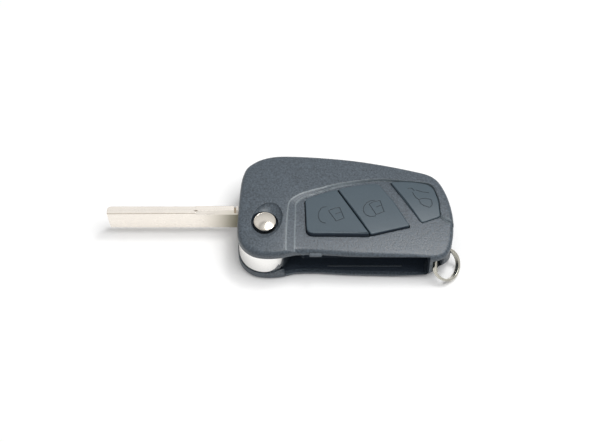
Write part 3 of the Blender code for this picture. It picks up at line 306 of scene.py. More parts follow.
ridgeShares = [
    (0.108, -0.800, 1.00), (0.110, -0.272, 1.00), (0.116, 0.115, 0.96), (0.129, 0.288, 0.80),
    (0.176, 0.386, 0.62), (0.222, 0.436, 0.56), (0.283, 0.483, 0.48), (0.338, 0.526, 0.40),
    (0.406, 0.569, 0.31), (0.476, 0.602, 0.24), (0.544, 0.627, 0.18), (0.595, 0.638, 0.13),
    (0.663, 0.641, 0.11), (0.749, 0.627, 0.11), (0.819, 0.614, 0.11), (0.870, 0.598, 0.11),
    (0.900, 0.555, 0.11), (0.917, 0.458, 0.11), (0.932, 0.328, 0.13), (0.938, 0.126, 0.20),
    (0.959, 0.090, 0.35), (0.986, 0.065, 0.45),
]


def spot(shareX, shareY):
    reachX = case["tail"] if shareX > 0 else case["nose"]
    reachY = case["rear"] if shareY > 0 else case["front"]
    return Vector((shareX * reachX, shareY * reachY, 0))


def crownDrop(x, y):
    # How far the top lies under the crown: it falls to the tail, to both sides and round the nose
    nose = max(case["noseLine"] - x, 0) ** 2 * case["noseBow"]
    return -case["fall"] * x - (y - case["crownLine"]) ** 2 / (2 * case["crownRadius"]) - nose


cornerMost = 0.45  # how much of a side a rounded corner may take
margin = 1.0  # how far a cutting tool reaches past what it cuts


def smoothPath(points, steps, closed=False):
    # A curve through the points, with handles along the bisector of the neighbours
    count = len(points)
    tangents = []
    for index, point in enumerate(points):
        before = points[index - 1] if closed or index else point
        after = points[(index + 1) % count] if closed or index < count - 1 else point
        tangents.append(((point - before).normalized() + (after - point).normalized()).normalized())
    path = []
    for index in range(count if closed else count - 1):
        following = (index + 1) % count
        reach = (points[following] - points[index]).length / 3  # a handle is a third of its span
        path += interpolate_bezier(
            points[index], points[index] + tangents[index] * reach,
            points[following] - tangents[following] * reach, points[following], steps + 1)[:-1]
    return path if closed else path + [points[-1]]


def roundedLoop(corners, steps):
    loop = []
    for index, (corner, reach) in enumerate(corners):
        before = corners[index - 1][0] - corner
        after = corners[(index + 1) % len(corners)][0] - corner
        reach = min(reach, min(before.length, after.length) * cornerMost)
        start = corner + before.normalized() * reach
        end = corner + after.normalized() * reach
        for step in range(steps + 1):
            t = step / steps
            loop.append(start * (1 - t) ** 2 + corner * (2 * t * (1 - t)) + end * t ** 2)
    return loop


def inwardWays(points):
    # At each corner of a loop, the way inwards and the way across the next side
    ways = []
    for index, point in enumerate(points):
        before = (point - points[index - 1]).normalized()
        after = (points[(index + 1) % len(points)] - point).normalized()
        inward = Vector((-before.y - after.y, before.x + after.x, 0)).normalized()
        ways.append((inward, Vector((-after.y, after.x, 0))))
    return ways


def insetLoop(points, distance):
    return [point + inward * (distance / inward.dot(across))
            for point, (inward, across) in zip(points, inwardWays(points))]


def arc(centre, radius, start, end, steps):
    angles = [math.radians(start + (end - start) * step / steps) for step in range(steps + 1)]
    return [centre + Vector((math.cos(angle), math.sin(angle), 0)) * radius for angle in angles]


def caseLoop():
    centre = Vector((0, case["nose"] - case["front"], 0))
    nose = arc(centre, case["nose"], 180, 270, case["noseSteps"])
    return smoothPath(nose + [spot(*shares) for shares in outlineShares], case["outlineSteps"], True)


# Shape helpers

tolerance = {"level": 0.001, "upright": 0.99, "weld": 0.0005, "ringWeld": 0.0001}
facets = {"screw": 32, "cross": 48, "rod": 64, "fine": 96, "finest": 128}
strips = {"spacing": 1.0, "shift": 0.013}  # the shift keeps the cuts off the outline's corners


def solidFrom(bm, name, *slots):
    bmesh.ops.recalc_face_normals(bm, faces=bm.faces)
    if bm.calc_volume(signed=True) < 0:
        bmesh.ops.reverse_faces(bm, faces=bm.faces)
    mesh = bpy.data.meshes.new(name)
    bm.to_mesh(mesh)
    bm.free()
    for slot in slots or ("case",):
        mesh.materials.append(looks[slot])
    solid = placed(name, mesh)
    solid.hide_render = True
    return solid


def only(kind, items):
    return [item for item in items if isinstance(item, kind)]


def extruded(points, low, high):
    bm = bmesh.new()
    base = bm.faces.new([bm.verts.new((point.x, point.y, low)) for point in points])
    grown = bmesh.ops.extrude_face_region(bm, geom=[base], use_keep_orig=True)["geom"]
    bmesh.ops.translate(bm, vec=(0, 0, high - low), verts=only(bmesh.types.BMVert, grown))
    bm.normal_update()
    return bm


def rimEdges(bm, height):
    least = tolerance["level"]
    return [edge for edge in bm.edges if all(abs(end.co.z - height) < least for end in edge.verts)]


def rounded(bm, edges, radius, steps):
    bmesh.ops.bevel(
        bm, geom=edges, offset=radius, segments=steps, profile=0.5, affect="EDGES", material=-1,
        clamp_overlap=False)
    bm.normal_update()
    return bm


def capDrop(cap):
    # A cap follows the crown behind the crown's line and has a bow of its own in front
    def drop(x, y):
        return crownDrop(x, max(y, case["crownLine"])) - max(cap["bowLine"] - y, 0) ** 2 * cap["bow"]
    return drop


def bent(bm, level, reach, drop=crownDrop):
    # Cuts the flat face at the level into strips, then bends what lies near it to the crown
    flat = [face for face in bm.faces if abs(face.normal.z) > tolerance["upright"]
            and abs(face.calc_center_median().z - level) < tolerance["level"]]
    lines = []
    for start, end, across in (
            (case["front"], case["rear"], Vector((0, 1, 0))),
            (case["nose"], case["noseLine"], Vector((1, 0, 0)))):
        for step in range(1, int((end + start) / strips["spacing"])):
            lines.append((across * (step * strips["spacing"] - start - strips["shift"]), across))
    for place, across in lines:
        edges = {edge for face in flat for edge in face.edges}
        corners = {corner for face in flat for corner in face.verts}
        halves = bmesh.ops.bisect_plane(
            bm, geom=list(corners) + list(edges) + flat, dist=tolerance["weld"], plane_co=place,
            plane_no=across)
        flat = only(bmesh.types.BMFace, halves["geom"])
    close = [corner for corner in bm.verts if abs(corner.co.z - level) < reach + tolerance["level"]]
    for corner in close:
        corner.co.z += drop(corner.co.x, corner.co.y)
    bmesh.ops.triangulate(bm, faces=list({face for corner in close for face in corner.link_faces}))
    return bm


def rod(radius, x, y, low, high, sides=facets["rod"]):
    bm = bmesh.new()
    place = Matrix.Translation((x, y, (low + high) / 2))
    bmesh.ops.create_cone(
        bm, cap_ends=True, segments=sides, radius1=radius, radius2=radius, depth=high - low, matrix=place)
    return bm


def spotRod(radius, shares, low, high, sides=facets["screw"]):
    return rod(radius, *spot(*shares).xy, low, high, sides)


def crossRod(radius, x, z, start, end):
    # A rod that lies along Y
    bm = rod(radius, 0, 0, start, end, facets["cross"])
    bm.transform(Matrix.Translation((x, 0, z)) @ Matrix.Rotation(math.radians(-90), 4, "X"))
    return bm


def box(low, high):
    low = Vector(low)
    high = Vector(high)
    bm = bmesh.new()
    bmesh.ops.create_cube(bm, size=1)
    bmesh.ops.scale(bm, vec=high - low, verts=bm.verts)
    bmesh.ops.translate(bm, vec=(low + high) / 2, verts=bm.verts)
    bm.normal_update()
    return bm


def spun(profile, sides=facets["fine"]):
    # Turns a profile of (radius, height) pairs about the upright axis
    bm = bmesh.new()
    corners = [bm.verts.new((radius, 0, height)) for radius, height in profile]
    edges = [bm.edges.new(pair) for pair in zip(corners, corners[1:])]
    bmesh.ops.spin(
        bm, geom=corners + edges, cent=(0, 0, 0), axis=(0, 0, 1), angle=math.tau, steps=sides, use_merge=True)
    bmesh.ops.remove_doubles(bm, verts=bm.verts, dist=tolerance["weld"])
    return bm


def sleeve(inner, outer, start, end):
    return spun([(inner, start), (outer, start), (outer, end), (inner, end), (inner, start)])


def lofted(rings, lineRows, lineEnd):
    # Grows a wall from ring to ring. Up to lineEnd along X, the rows in lineRows take the second material,
    # the lighter ridge plastic that is painted highlight.
    def key(point):
        return tuple(round(value, 4) for value in point)

    bm = bmesh.new()
    base = bm.faces.new([bm.verts.new(point) for point in rings[0]])
    edges = base.edges[:]
    for row, (ring, following) in enumerate(zip(rings, rings[1:])):
        targets = {key(point): target for point, target in zip(ring, following)}
        grown = bmesh.ops.extrude_edge_only(bm, edges=edges)["geom"]
        corners = set(only(bmesh.types.BMVert, grown))
        edges = [edge for edge in only(bmesh.types.BMEdge, grown) if set(edge.verts) <= corners]
        for face in only(bmesh.types.BMFace, grown):
            face.material_index = 1 if row in lineRows and face.calc_center_median().x < lineEnd else 0
        for corner in corners:
            corner.co = targets[key(corner.co)]
    bmesh.ops.contextual_create(bm, geom=edges)
    bmesh.ops.triangulate(bm, faces=bm.faces)
    return bm


def combined(solid, operation, tools):
    for tool in tools:
        modifier = solid.modifiers.new(tool.name, "BOOLEAN")
        modifier.operation = operation
        modifier.solver = "EXACT"
        modifier.material_mode = "TRANSFER"
        modifier.object = tool
    graph = bpy.context.evaluated_depsgraph_get()
    mesh = bpy.data.meshes.new_from_object(solid.evaluated_get(graph))
    solid.modifiers.clear()
    solid.data = mesh
    for tool in tools:
        bpy.data.objects.remove(tool)
    return solid


def cut(solid, *tools):
    return combined(solid, "DIFFERENCE", tools)


def joined(solid, *tools):
    return combined(solid, "UNION", tools)


def finished(solid, name, body, nodes, sharpAngle=35.0):
    # Brings the piece to metres, shades it, hangs it on its body and hides the nodes that it dresses
    mesh = solid.data
    mesh.transform(Matrix.Scale(millimetre, 4))
    mesh.shade_smooth()
    mesh.set_sharp_from_angle(angle=math.radians(sharpAngle))
    even = solid.modifiers.new("evenNormals", "WEIGHTED_NORMAL")
    even.keep_sharp = True
    solid.name = name
    solid.hide_render = False
    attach(solid, body)
    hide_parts(*nodes)
    print(name, "made:", len(mesh.polygons), "faces")


# Top shell

topShell = {
    "hole": 4.46, "scoopWide": 5.3, "scoopLong": 7.4, "scoopDeep": 2.1, "scoopShift": 0.5, "scoopTurn": -18.0,
    "line": 0.50, "lineMost": 0.48, "lineEnd": 62.0, "ridgeSteps": 4, "footShare": 1.5, "footDrop": 2.8,
    "noseLip": 12.55, "slotLip": 12.4, "slotBack": -5.0, "slotWall": 1.2, "slotStart": 8.0, "slotEnd": 54.7,
    "chamber": 12.9, "chamberWall": 1.2, "chamberFrom": -22.0, "chamberTo": 124.0, "chamberSteps": 44,
    "wallTurn": 20.0, "collarRoom": 6.5, "hubRear": 10.4, "post": (60.1, -9.3), "postRadius": 1.7,
    "tunnel": 5.3, "tunnelSide": 4.6, "tunnelLow": 4.4, "tunnelHigh": 10.6, "tunnelRoom": 20.0,
    "cornerWall": 1.2, "ledge": 1.0, "ledgeDeep": 3.0, "underCap": 0.7, "screwBoss": 2.5,
    "screws": [(-0.420, 0.715), (0.746, 0.728)], "nubLow": (14.7, -11.7, 12.25),
    "nubHigh": (18.9, -10.3, 13.3), "nubRound": 0.4, "nubSteps": 3,
}


def panelRoom():
    # What the raised part of the top leaves free: the stepped-down panel, its slope and the air above.
    # A row holds its place and, as its height, the width of the slope there.
    t = topShell
    rows = [Vector((*spot(x, y).xy, width * case["slope"])) for x, y, width in ridgeShares]
    rows = smoothPath(rows, t["ridgeSteps"])
    over = case["over"]
    entry = Vector((rows[0].x, -case["front"] - over, rows[0].z))
    leaving = Vector((case["tail"] + over, rows[-1].y, rows[-1].z))
    corner = Vector((case["tail"] + over, -case["front"] - over, 0))
    rows = [corner, leaving] + rows[::-1] + [entry]
    edge = [Vector((row.x, row.y, 0)) for row in rows]
    inward = [way for way, across in inwardWays(edge)]
    inward[0] = inward[1] = Vector((0, -1, 0))
    inward[-1] = Vector((1, 0, 0))

    def lineShare(width):
        # The share of the slope that one line's width takes up
        return min(t["line"] / max(width, tolerance["level"]), t["lineMost"])

    def ring(shareAt, drop=None):
        # A ring down the slope. With a drop of its own it lies under the slope's foot.
        made = []
        for row, point, way in zip(rows, edge, inward):
            share = shareAt(row.z)
            place = point + way * (row.z * share)
            level = case["crown"] - case["panelDrop"] * (share if drop is None else drop)
            made.append(Vector((place.x, place.y, level + crownDrop(place.x, place.y))))
        return made

    # Rows 1 and 3, thin strips at the slope's foot and brink, take the lighter ridge plastic: painted
    # highlight
    rings = [
        ring(lambda width: t["footShare"], t["footDrop"]), ring(lambda width: 1),
        ring(lambda width: 1 - lineShare(width)), ring(lineShare), ring(lambda width: 0),
        [Vector((point.x, point.y, case["crown"] + over)) for point in edge]]
    return solidFrom(lofted(rings, (1, 3), t["lineEnd"]), "panelRoom", "case", "ridgeLine")


def slotWindows(lows, highs):
    # The open front and left side of the case, where the hub and the folded blade lie
    t = topShell
    far = case["tail"]
    side = box((-far, -far, lows[0]), (-case["nose"] / 2, t["hubRear"] + case["gap"], highs[0]))
    nose = box((-far, -far, lows[0]), (t["slotStart"], t["slotBack"], highs[0]))
    slot = box((t["slotStart"] - case["wall"], -far, lows[1]), (t["slotEnd"], t["slotBack"], highs[1]))
    return [solidFrom(side, "sideWindow"), solidFrom(nose, "noseWindow"), solidFrom(slot, "slotWindow")]


def ringTunnel():
    t = topShell
    x, y = t["post"]
    tunnel = solidFrom(rod(t["tunnel"], x, y, t["tunnelLow"], t["tunnelHigh"]), "ringTunnel")
    cut(tunnel, solidFrom(
        rod(t["postRadius"], x, y, t["tunnelLow"] - margin, t["tunnelHigh"] + margin), "ringPost"))
    reach = t["tunnelRoom"]
    room = box((x - t["tunnelSide"], y - reach, 0), (x + reach, y + reach, reach))
    return combined(tunnel, "INTERSECT", [solidFrom(room, "tunnelSide")])


def scoop():
    # The dish that the thumb follows to the button, whose ball stands a third higher than the dish is deep
    t = topShell
    rise = t["scoopDeep"] / 3
    bm = bmesh.new()
    bmesh.ops.create_uvsphere(bm, u_segments=facets["fine"], v_segments=facets["rod"], radius=1)
    bmesh.ops.scale(bm, vec=(t["scoopWide"], t["scoopLong"], t["scoopDeep"] + rise), verts=bm.verts)
    bm.transform(Matrix.Rotation(math.radians(t["scoopTurn"]), 4, "Z"))
    bmesh.ops.translate(
        bm, vec=(t["scoopShift"], 0, case["crown"] + crownDrop(0, 0) + rise), verts=bm.verts)
    return solidFrom(bm, "scoop")


def insideWalls(low, high):
    # The walls that both shells share round the hub's room, behind the slot and about the ring's post
    t = topShell
    centre = Vector()
    start, end, steps = t["chamberFrom"], t["chamberTo"], t["chamberSteps"]
    outer = arc(centre, t["chamber"] + t["chamberWall"], start, end, steps)
    inner = arc(centre, t["chamber"], end, start, steps)
    wallStart = t["chamber"] * math.cos(math.radians(t["wallTurn"]))
    back = box((wallStart, t["slotBack"], low), (
        t["slotEnd"] + case["wall"], t["slotBack"] + t["slotWall"], high))
    x, y = t["post"]
    walls = [
        solidFrom(extruded(outer + inner, low, high), "chamberWall", "slot"),
        solidFrom(back, "slotWall", "slot"),
        solidFrom(rod(t["tunnel"] + t["cornerWall"], x, y, low, high), "cornerBoss", "slot"),
    ]
    for shares in t["screws"]:
        walls.append(solidFrom(spotRod(t["screwBoss"], shares, low, high), "screwBoss", "slot"))
    return walls


def makeTopShell():
    t = topShell
    low = case["parting"] + case["seam"] / 2
    under = case["parting"] - case["over"]
    over = case["crown"] + case["over"]
    loop = caseLoop()
    panel = extruded(loop, low, case["panel"])
    rounded(panel, rimEdges(panel, case["panel"]), case["topRound"], case["roundSteps"])
    shell = solidFrom(bent(panel, case["panel"], case["topRound"]), "topShell")
    raised = extruded(loop, low + case["over"], case["crown"])
    rounded(raised, rimEdges(raised, case["crown"]), case["topRound"], case["roundSteps"])
    ridge = solidFrom(bent(raised, case["crown"], case["topRound"]), "ridge")
    cut(ridge, panelRoom())
    joined(shell, ridge)
    inside = extruded(insetLoop(loop, case["wall"]), under, case["ceiling"])
    hollow = solidFrom(bent(inside, case["ceiling"], 0), "upperHollow", "slot")
    guide = sleeve(t["collarRoom"], t["collarRoom"] + case["wall"], over, t["noseLip"])
    for keep in insideWalls(under - margin, over) + [solidFrom(guide, "collarGuide", "slot")]:
        cut(hollow, keep)
    cut(shell, hollow)
    cut(shell, *slotWindows((under, under), (t["noseLip"], t["slotLip"])))
    cut(shell, ringTunnel())
    cut(shell, scoop())
    cut(shell, solidFrom(rod(t["hole"], 0, 0, t["noseLip"], over, facets["fine"]), "releaseHole", "slot"))
    for cap in capPieces:
        opening = extruded(capLoop(cap, -cap["gap"]), cap["low"] - t["underCap"], over)
        ledge = frontLedge(cap["low"] - t["ledgeDeep"], 0)
        cut(shell, cut(solidFrom(opening, "opening"), solidFrom(ledge, "frontLedge")))
    joined(shell, slotNub())
    finished(shell, "topShell", "case", ["top_shell"])


def frontLedge(low, play):
    # The ledge above the slot, which the openings and the caps leave free
    t = topShell
    return box((0, -case["front"], low), (
        case["tail"], t["slotBack"] + t["slotWall"] + play, t["slotLip"] + t["ledge"] + play))


def slotNub():
    # The small rounded catch on the rim of the slot
    nub = box(topShell["nubLow"], topShell["nubHigh"])
    rounded(nub, list(nub.edges), topShell["nubRound"], topShell["nubSteps"])
    # The catch takes the lighter plastic whose bright edges are painted highlight
    return solidFrom(nub, "slotNub", "catch")


# Lower shell

bottomShell = {
    "baseRound": 1.1, "floor": 1.6, "noseLip": 3.35, "slotLip": 1.7, "bearing": (5.5, 7.0),
    "shaftBoss": (3.0, 5.7), "shaftBore": (1.9, 2.0), "ribStart": 21.0, "ribEnd": 46.0, "ribFront": -8.4,
    "ribBack": -8.1, "ribTop": 2.1, "postTop": 7.95, "cell": (0.560, 0.330), "cellHalf": 5.0, "thin": 0.4,
    "posts": [(0.300, -0.150), (0.300, 0.800), (0.620, 0.740), (0.790, -0.120), (0.900, 0.200)],
    "cellRibTop": 3.85, "strapHalf": 2.0, "strapRibTop": 3.25, "pocket": (0.135, 0.730),
    "pocketHalf": (5.8, 2.8), "pocketWall": 0.8, "pocketTop": 3.0, "screwBore": 1.2, "screwHead": 2.1,
    "headRoom": 1.5, "cornerReach": 30.0,
    "cornerCuts": [((52.0, -12.4, 0.0), (0.571, -0.664, -0.482)), ((54.1, -10.8, 0.0), (0.05, -0.866, -0.5))],
}


def slantedCut(place, normal):
    # A block beyond a slanted plane
    reach = bottomShell["cornerReach"]
    bm = box((-reach, -reach, 0), (reach, reach, reach))
    turn = Vector(normal).to_track_quat("Z", "Y").to_matrix().to_4x4()
    bm.transform(Matrix.Translation(place) @ turn)
    return solidFrom(bm, "slantedCut")


def floorRibs(low):
    # What stands on the floor inside: the slot's rib first, then the board's posts and the cell's ribs
    b = bottomShell
    ribs = [box((b["ribStart"], b["ribFront"], low), (b["ribEnd"], b["ribBack"], b["ribTop"]))]
    ribs += [spotRod(case["wall"], shares, low, b["postTop"]) for shares in b["posts"]]
    cell = spot(*b["cell"])
    for line in (cell.y - b["cellHalf"], cell.y + b["cellHalf"]):
        ribs.append(box((cell.x - b["cellHalf"], line - b["thin"], low), (
            cell.x + b["cellHalf"], line + b["thin"], b["cellRibTop"])))
    ribs.append(box((cell.x - b["thin"], cell.y - b["strapHalf"], low), (
        cell.x + b["thin"], cell.y + b["strapHalf"], b["strapRibTop"])))
    # The slot's rib takes the catch plastic, whose bright edges are painted highlight; the posts and cell
    # ribs take the slot plastic, painted shade
    return [solidFrom(rib, "floorRib", "slot" if number else "catch") for number, rib in enumerate(ribs)]


def chipPocket(low):
    b = bottomShell
    place = spot(*b["pocket"])
    inner = Vector((*b["pocketHalf"], 0))
    outer = inner + Vector((b["pocketWall"], b["pocketWall"], 0))
    bottom = Vector((0, 0, low))
    top = Vector((0, 0, b["pocketTop"]))
    above = Vector((0, 0, margin))
    pocket = solidFrom(box(place - outer + bottom, place + outer + top), "pocket", "slot")
    room = box(place - inner + bottom - above, place + inner + top + above)
    return cut(pocket, solidFrom(room, "pocketRoom", "slot"))


def makeBottomShell():
    b = bottomShell
    top = case["parting"] - case["seam"] / 2
    above = case["parting"] + case["over"]
    below = b["floor"] - case["over"]
    loop = caseLoop()
    body = extruded(loop, 0, top)
    shell = solidFrom(rounded(body, rimEdges(body, 0), b["baseRound"], case["roundSteps"]), "bottomShell")
    hollow = solidFrom(extruded(insetLoop(loop, case["wall"]), b["floor"], above), "lowerHollow", "slot")
    bossRadius, bossTop = b["shaftBoss"]
    keeps = insideWalls(below, above + margin) + floorRibs(below) + [
        solidFrom(sleeve(*b["bearing"], b["noseLip"], below), "bearing", "slot"),
        solidFrom(rod(bossRadius, 0, 0, below, bossTop), "shaftBoss", "slot"),
        chipPocket(below),
    ]
    for keep in keeps:
        cut(hollow, keep)
    cut(shell, hollow)
    cut(shell, *slotWindows((b["noseLip"], b["slotLip"]), (above, above)))
    cut(shell, ringTunnel())
    for place, normal in b["cornerCuts"]:
        cut(shell, slantedCut(place, normal))
    boreRadius, boreLow = b["shaftBore"]
    cut(shell, solidFrom(rod(boreRadius, 0, 0, boreLow, above), "shaftBore", "slot"))
    for shares in topShell["screws"]:
        room = spotRod(b["screwHead"], shares, -margin, b["headRoom"], facets["cross"])
        cut(shell, solidFrom(spotRod(b["screwBore"], shares, -margin, above), "screwBore", "slot"))
        cut(shell, solidFrom(room, "headRoom"))
    finished(shell, "bottomShell", "case", ["bottom_shell"])


# Button caps. A share row holds a corner's place and how round it is.

capPieces = [
    {"body": "unlock", "proud": 1.1, "low": 11.82, "bowLine": 5.0, "bow": 0.0005, "gap": 0.25,
     "shares": [(0.549, -0.376, 0.25), (0.382, 0.461, 0.25), (0.324, 0.418, 0.40), (0.268, 0.368, 0.40),
                (0.213, 0.306, 0.40), (0.221, -0.400, 1.00)],
     "strokes": [
         [(20.45, 5.6), (19.21, 5.29), (18.2, 3.89), (17.78, 2.31), (18.0, 0.57), (18.82, -0.56),
          (20.14, -0.99)],
         [(21.2, 3.96), (23.64, -0.07)], [(21.2, 3.96), (23.05, 4.99), (24.9, 5.43)],
         [(24.9, 5.43), (26.32, 1.15)], [(23.64, -0.07), (26.32, 1.15)], [(23.6, 2.85), (25.2, 3.45)]]},
    {"body": "lock", "proud": 0.9, "low": 11.38, "bowLine": 7.0, "bow": 0.004, "gap": 0.25,
     "shares": [(0.765, -0.080, 0.35), (0.686, 0.303, 0.50), (0.616, 0.541, 0.45), (0.595, 0.573, 0.45),
                (0.543, 0.559, 0.50), (0.433, 0.505, 0.50), (0.389, 0.468, 0.25), (0.557, -0.364, 0.25)],
     "strokes": [
         [(36.72, 8.8), (35.19, 8.44), (33.65, 7.18), (32.93, 5.56), (32.99, 3.98), (33.86, 2.74),
          (35.18, 2.23), (36.86, 2.5)],
         [(34.82, 7.21), (37.04, 3.09)], [(34.82, 7.21), (36.7, 8.27), (38.56, 8.72)],
         [(38.56, 8.72), (39.76, 4.34)], [(37.08, 3.05), (39.80, 4.31)], [(37.3, 6.1), (38.8, 6.8)]]},
    {"body": "boot", "proud": 0.8, "low": 11.40, "bowLine": 11.0, "bow": 0.0075, "gap": 0.07,
     "shares": [(0.932, 0.115, 0.40), (0.925, 0.342, 0.60), (0.905, 0.505, 0.60), (0.881, 0.570, 0.60),
                (0.820, 0.604, 0.60), (0.750, 0.617, 0.60), (0.670, 0.605, 0.35), (0.829, 0.022, 0.45)],
     "strokes": [
         [(48.3, 14.0), (49.3, 14.2), (50.25, 13.3)], [(49.7, 12.4), (50.4, 10.8), (51.6, 9.5)],
         [(51.6, 9.5), (53.2, 10.1), (55.8, 9.64)], [(51.6, 9.5), (52.5, 7.7), (54.97, 6.57)],
         [(55.8, 9.64), (56.04, 7.6), (55.31, 6.58)], [(50.9, 13.4), (53.2, 12.7), (55.2, 12.4)]]},
]
capShape = {
    "corner": 2.4, "cornerSteps": 8, "round": 0.35, "roundSteps": 4, "wall": 0.9, "skirt": 2.0, "play": 0.7,
    "strokeWide": 0.22, "strokeDeep": 0.14, "strokeSteps": 4, "sideNormal": 0.3,
}


def capLoop(cap, inset=0.0):
    corners = insetLoop([spot(x, y) for x, y, rounding in cap["shares"]], inset)
    return roundedLoop([
        (corner, row[2] * capShape["corner"]) for corner, row in zip(corners, cap["shares"])],
        capShape["cornerSteps"])


def strokeGroove(points, top, drop):
    # A shallow groove along a line of the pictogram, whose near-black plastic is painted shade
    path = [Vector((x, y, 0)) for x, y in points]
    if len(path) > 2:
        path = smoothPath(path, capShape["strokeSteps"])
    left = []
    right = []
    half = capShape["strokeWide"] / 2
    for index, point in enumerate(path):
        before = path[max(index - 1, 0)]
        after = path[min(index + 1, len(path) - 1)]
        along = (after - before).normalized()
        aside = Vector((-along.y, along.x, 0)) * half
        end = along * (half if index == len(path) - 1 else -half if index == 0 else 0)
        left.append(point + aside + end)
        right.append(point - aside + end)
    groove = extruded(left + right[::-1], top - capShape["strokeDeep"], top + margin)
    for corner in groove.verts:
        corner.co.z += drop(corner.co.x, corner.co.y)
    bmesh.ops.triangulate(groove, faces=groove.faces)
    return solidFrom(groove, "strokeGroove", "stroke")


def makeCap(cap):
    name = cap["body"] + "Button"
    top = case["panel"] + cap["proud"]
    ceiling = case["ceiling"]
    below = cap["low"] - capShape["skirt"]
    body = extruded(capLoop(cap), cap["low"], top)
    rounded(body, rimEdges(body, top), capShape["round"], capShape["roundSteps"])
    drop = capDrop(cap)
    solid = solidFrom(bent(body, top, capShape["round"], drop), name, "cap")
    room = extruded(capLoop(cap, capShape["wall"]), below, ceiling)
    cut(solid, solidFrom(bent(room, ceiling, 0), "capRoom", "cap"))
    cut(solid, solidFrom(frontLedge(below, capShape["play"]), "notch", "cap"))
    for points in cap["strokes"]:
        cut(solid, strokeGroove(points, top, drop))
    # Painted shade: the cap's sides and undersides that face neither right nor rear take the dark slot
    # plastic
    solid.data.materials.append(looks["slot"])
    for face in solid.data.polygons:
        turned = face.normal.x > capShape["sideNormal"] or face.normal.y > capShape["sideNormal"]
        if face.normal.z < capShape["sideNormal"] and not turned and face.material_index == 0:
            face.material_index = len(solid.data.materials) - 1
    finished(solid, name, cap["body"], [cap["body"] + "_button"])


makeBottomShell()
makeTopShell()
for cap in capPieces:
    makeCap(cap)


# Hub and blade

hubShape = {
    "side": 8.8, "centre": -3.4, "rear": 10.4, "corner": 4.0, "low": 3.65, "top": 12.25, "collar": 6.2,
    "collarTop": 13.65, "bore": 5.15, "boreLow": 7.0, "shaft": 1.9, "under": 3.3, "underTop": 6.0,
    "pocketLow": (-18.2, 5.6, 4.25), "pocketHigh": (-1.8, 9.3, 11.65), "pin": 1.2, "pinX": -5.37,
    "pinStart": 4.35, "round": 0.35, "roundSteps": 4, "frontSteps": 96, "cornerSteps": 24,
}


def pinHole(name, look):
    h = hubShape
    middle = (h["low"] + h["top"]) / 2
    hole = crossRod(h["pin"], h["pinX"], middle, h["pinStart"], h["rear"] + case["over"])
    return solidFrom(hole, name, look)


def makeHub():
    h = hubShape
    corner = Vector((h["side"] - h["corner"], h["rear"] - h["corner"], 0))
    loop = arc(Vector((0, h["centre"], 0)), h["side"], 180, 360, h["frontSteps"])
    loop += arc(corner, h["corner"], 0, 90, h["cornerSteps"])
    loop.append(Vector((-h["side"], h["rear"], 0)))
    body = extruded(loop, h["low"], h["top"])
    rounded(body, rimEdges(body, h["low"]) + rimEdges(body, h["top"]), h["round"], h["roundSteps"])
    hub = solidFrom(body, "bladeHub", "hub")
    collar = rod(h["collar"], 0, 0, h["top"] - margin, h["collarTop"], facets["finest"])
    joined(hub, solidFrom(collar, "collar", "hub"))
    bore = rod(h["bore"], 0, 0, h["boreLow"], h["collarTop"] + margin, facets["finest"])
    cut(
        hub,
        solidFrom(bore, "hubBore", "hub"),
        solidFrom(rod(h["shaft"], 0, 0, 0, h["top"]), "shaftHole", "hub"),
        solidFrom(rod(h["under"], 0, 0, 0, h["underTop"]), "hubUnderside", "hub"),
        solidFrom(box(h["pocketLow"], h["pocketHigh"]), "tangPocket", "hub"),
        pinHole("hubPinHole", "hub"))
    finished(hub, "bladeHub", "blade", ["blade_hub"])


bladeShape = {
    "tip": -53.5, "base": -9.25, "low": 3.65, "top": 12.25, "front": 5.9, "rear": 9.0, "tipLean": 0.6,
    "tipRound": 1.4, "fall": 0.3, "round": 0.2, "neck": -23.45, "stepDeep": 0.4, "stepFront": 7.45,
    "chamferWide": 1.3, "chamferTurn": 32.0, "notchLow": (-10.5, 6.3, 11.2), "notchHigh": (-9.75, 10.0, 14.0),
    "dashLow": (-24.0, 6.9, 11.9), "dashHigh": (-22.8, 7.2, 13.0),
    "tangLow": (-12.4, 6.0, 4.55), "tangHigh": (-2.1, 8.9, 11.35), "tipSteps": 12, "roundSteps": 4,
    "rimAngle": 40.0, "chamferDeep": 3.0, "chamferHigh": 2.0, "lineNormal": 0.2, "sharp": 30.0,
}


def trimmed(bm, place, normal):
    # Cuts away what lies beyond a plane and closes the cut
    whole = bm.verts[:] + bm.edges[:] + bm.faces[:]
    halves = bmesh.ops.bisect_plane(bm, geom=whole, plane_co=place, plane_no=normal, clear_outer=True)
    bmesh.ops.contextual_create(bm, geom=only(bmesh.types.BMEdge, halves["geom_cut"]))
    bm.normal_update()


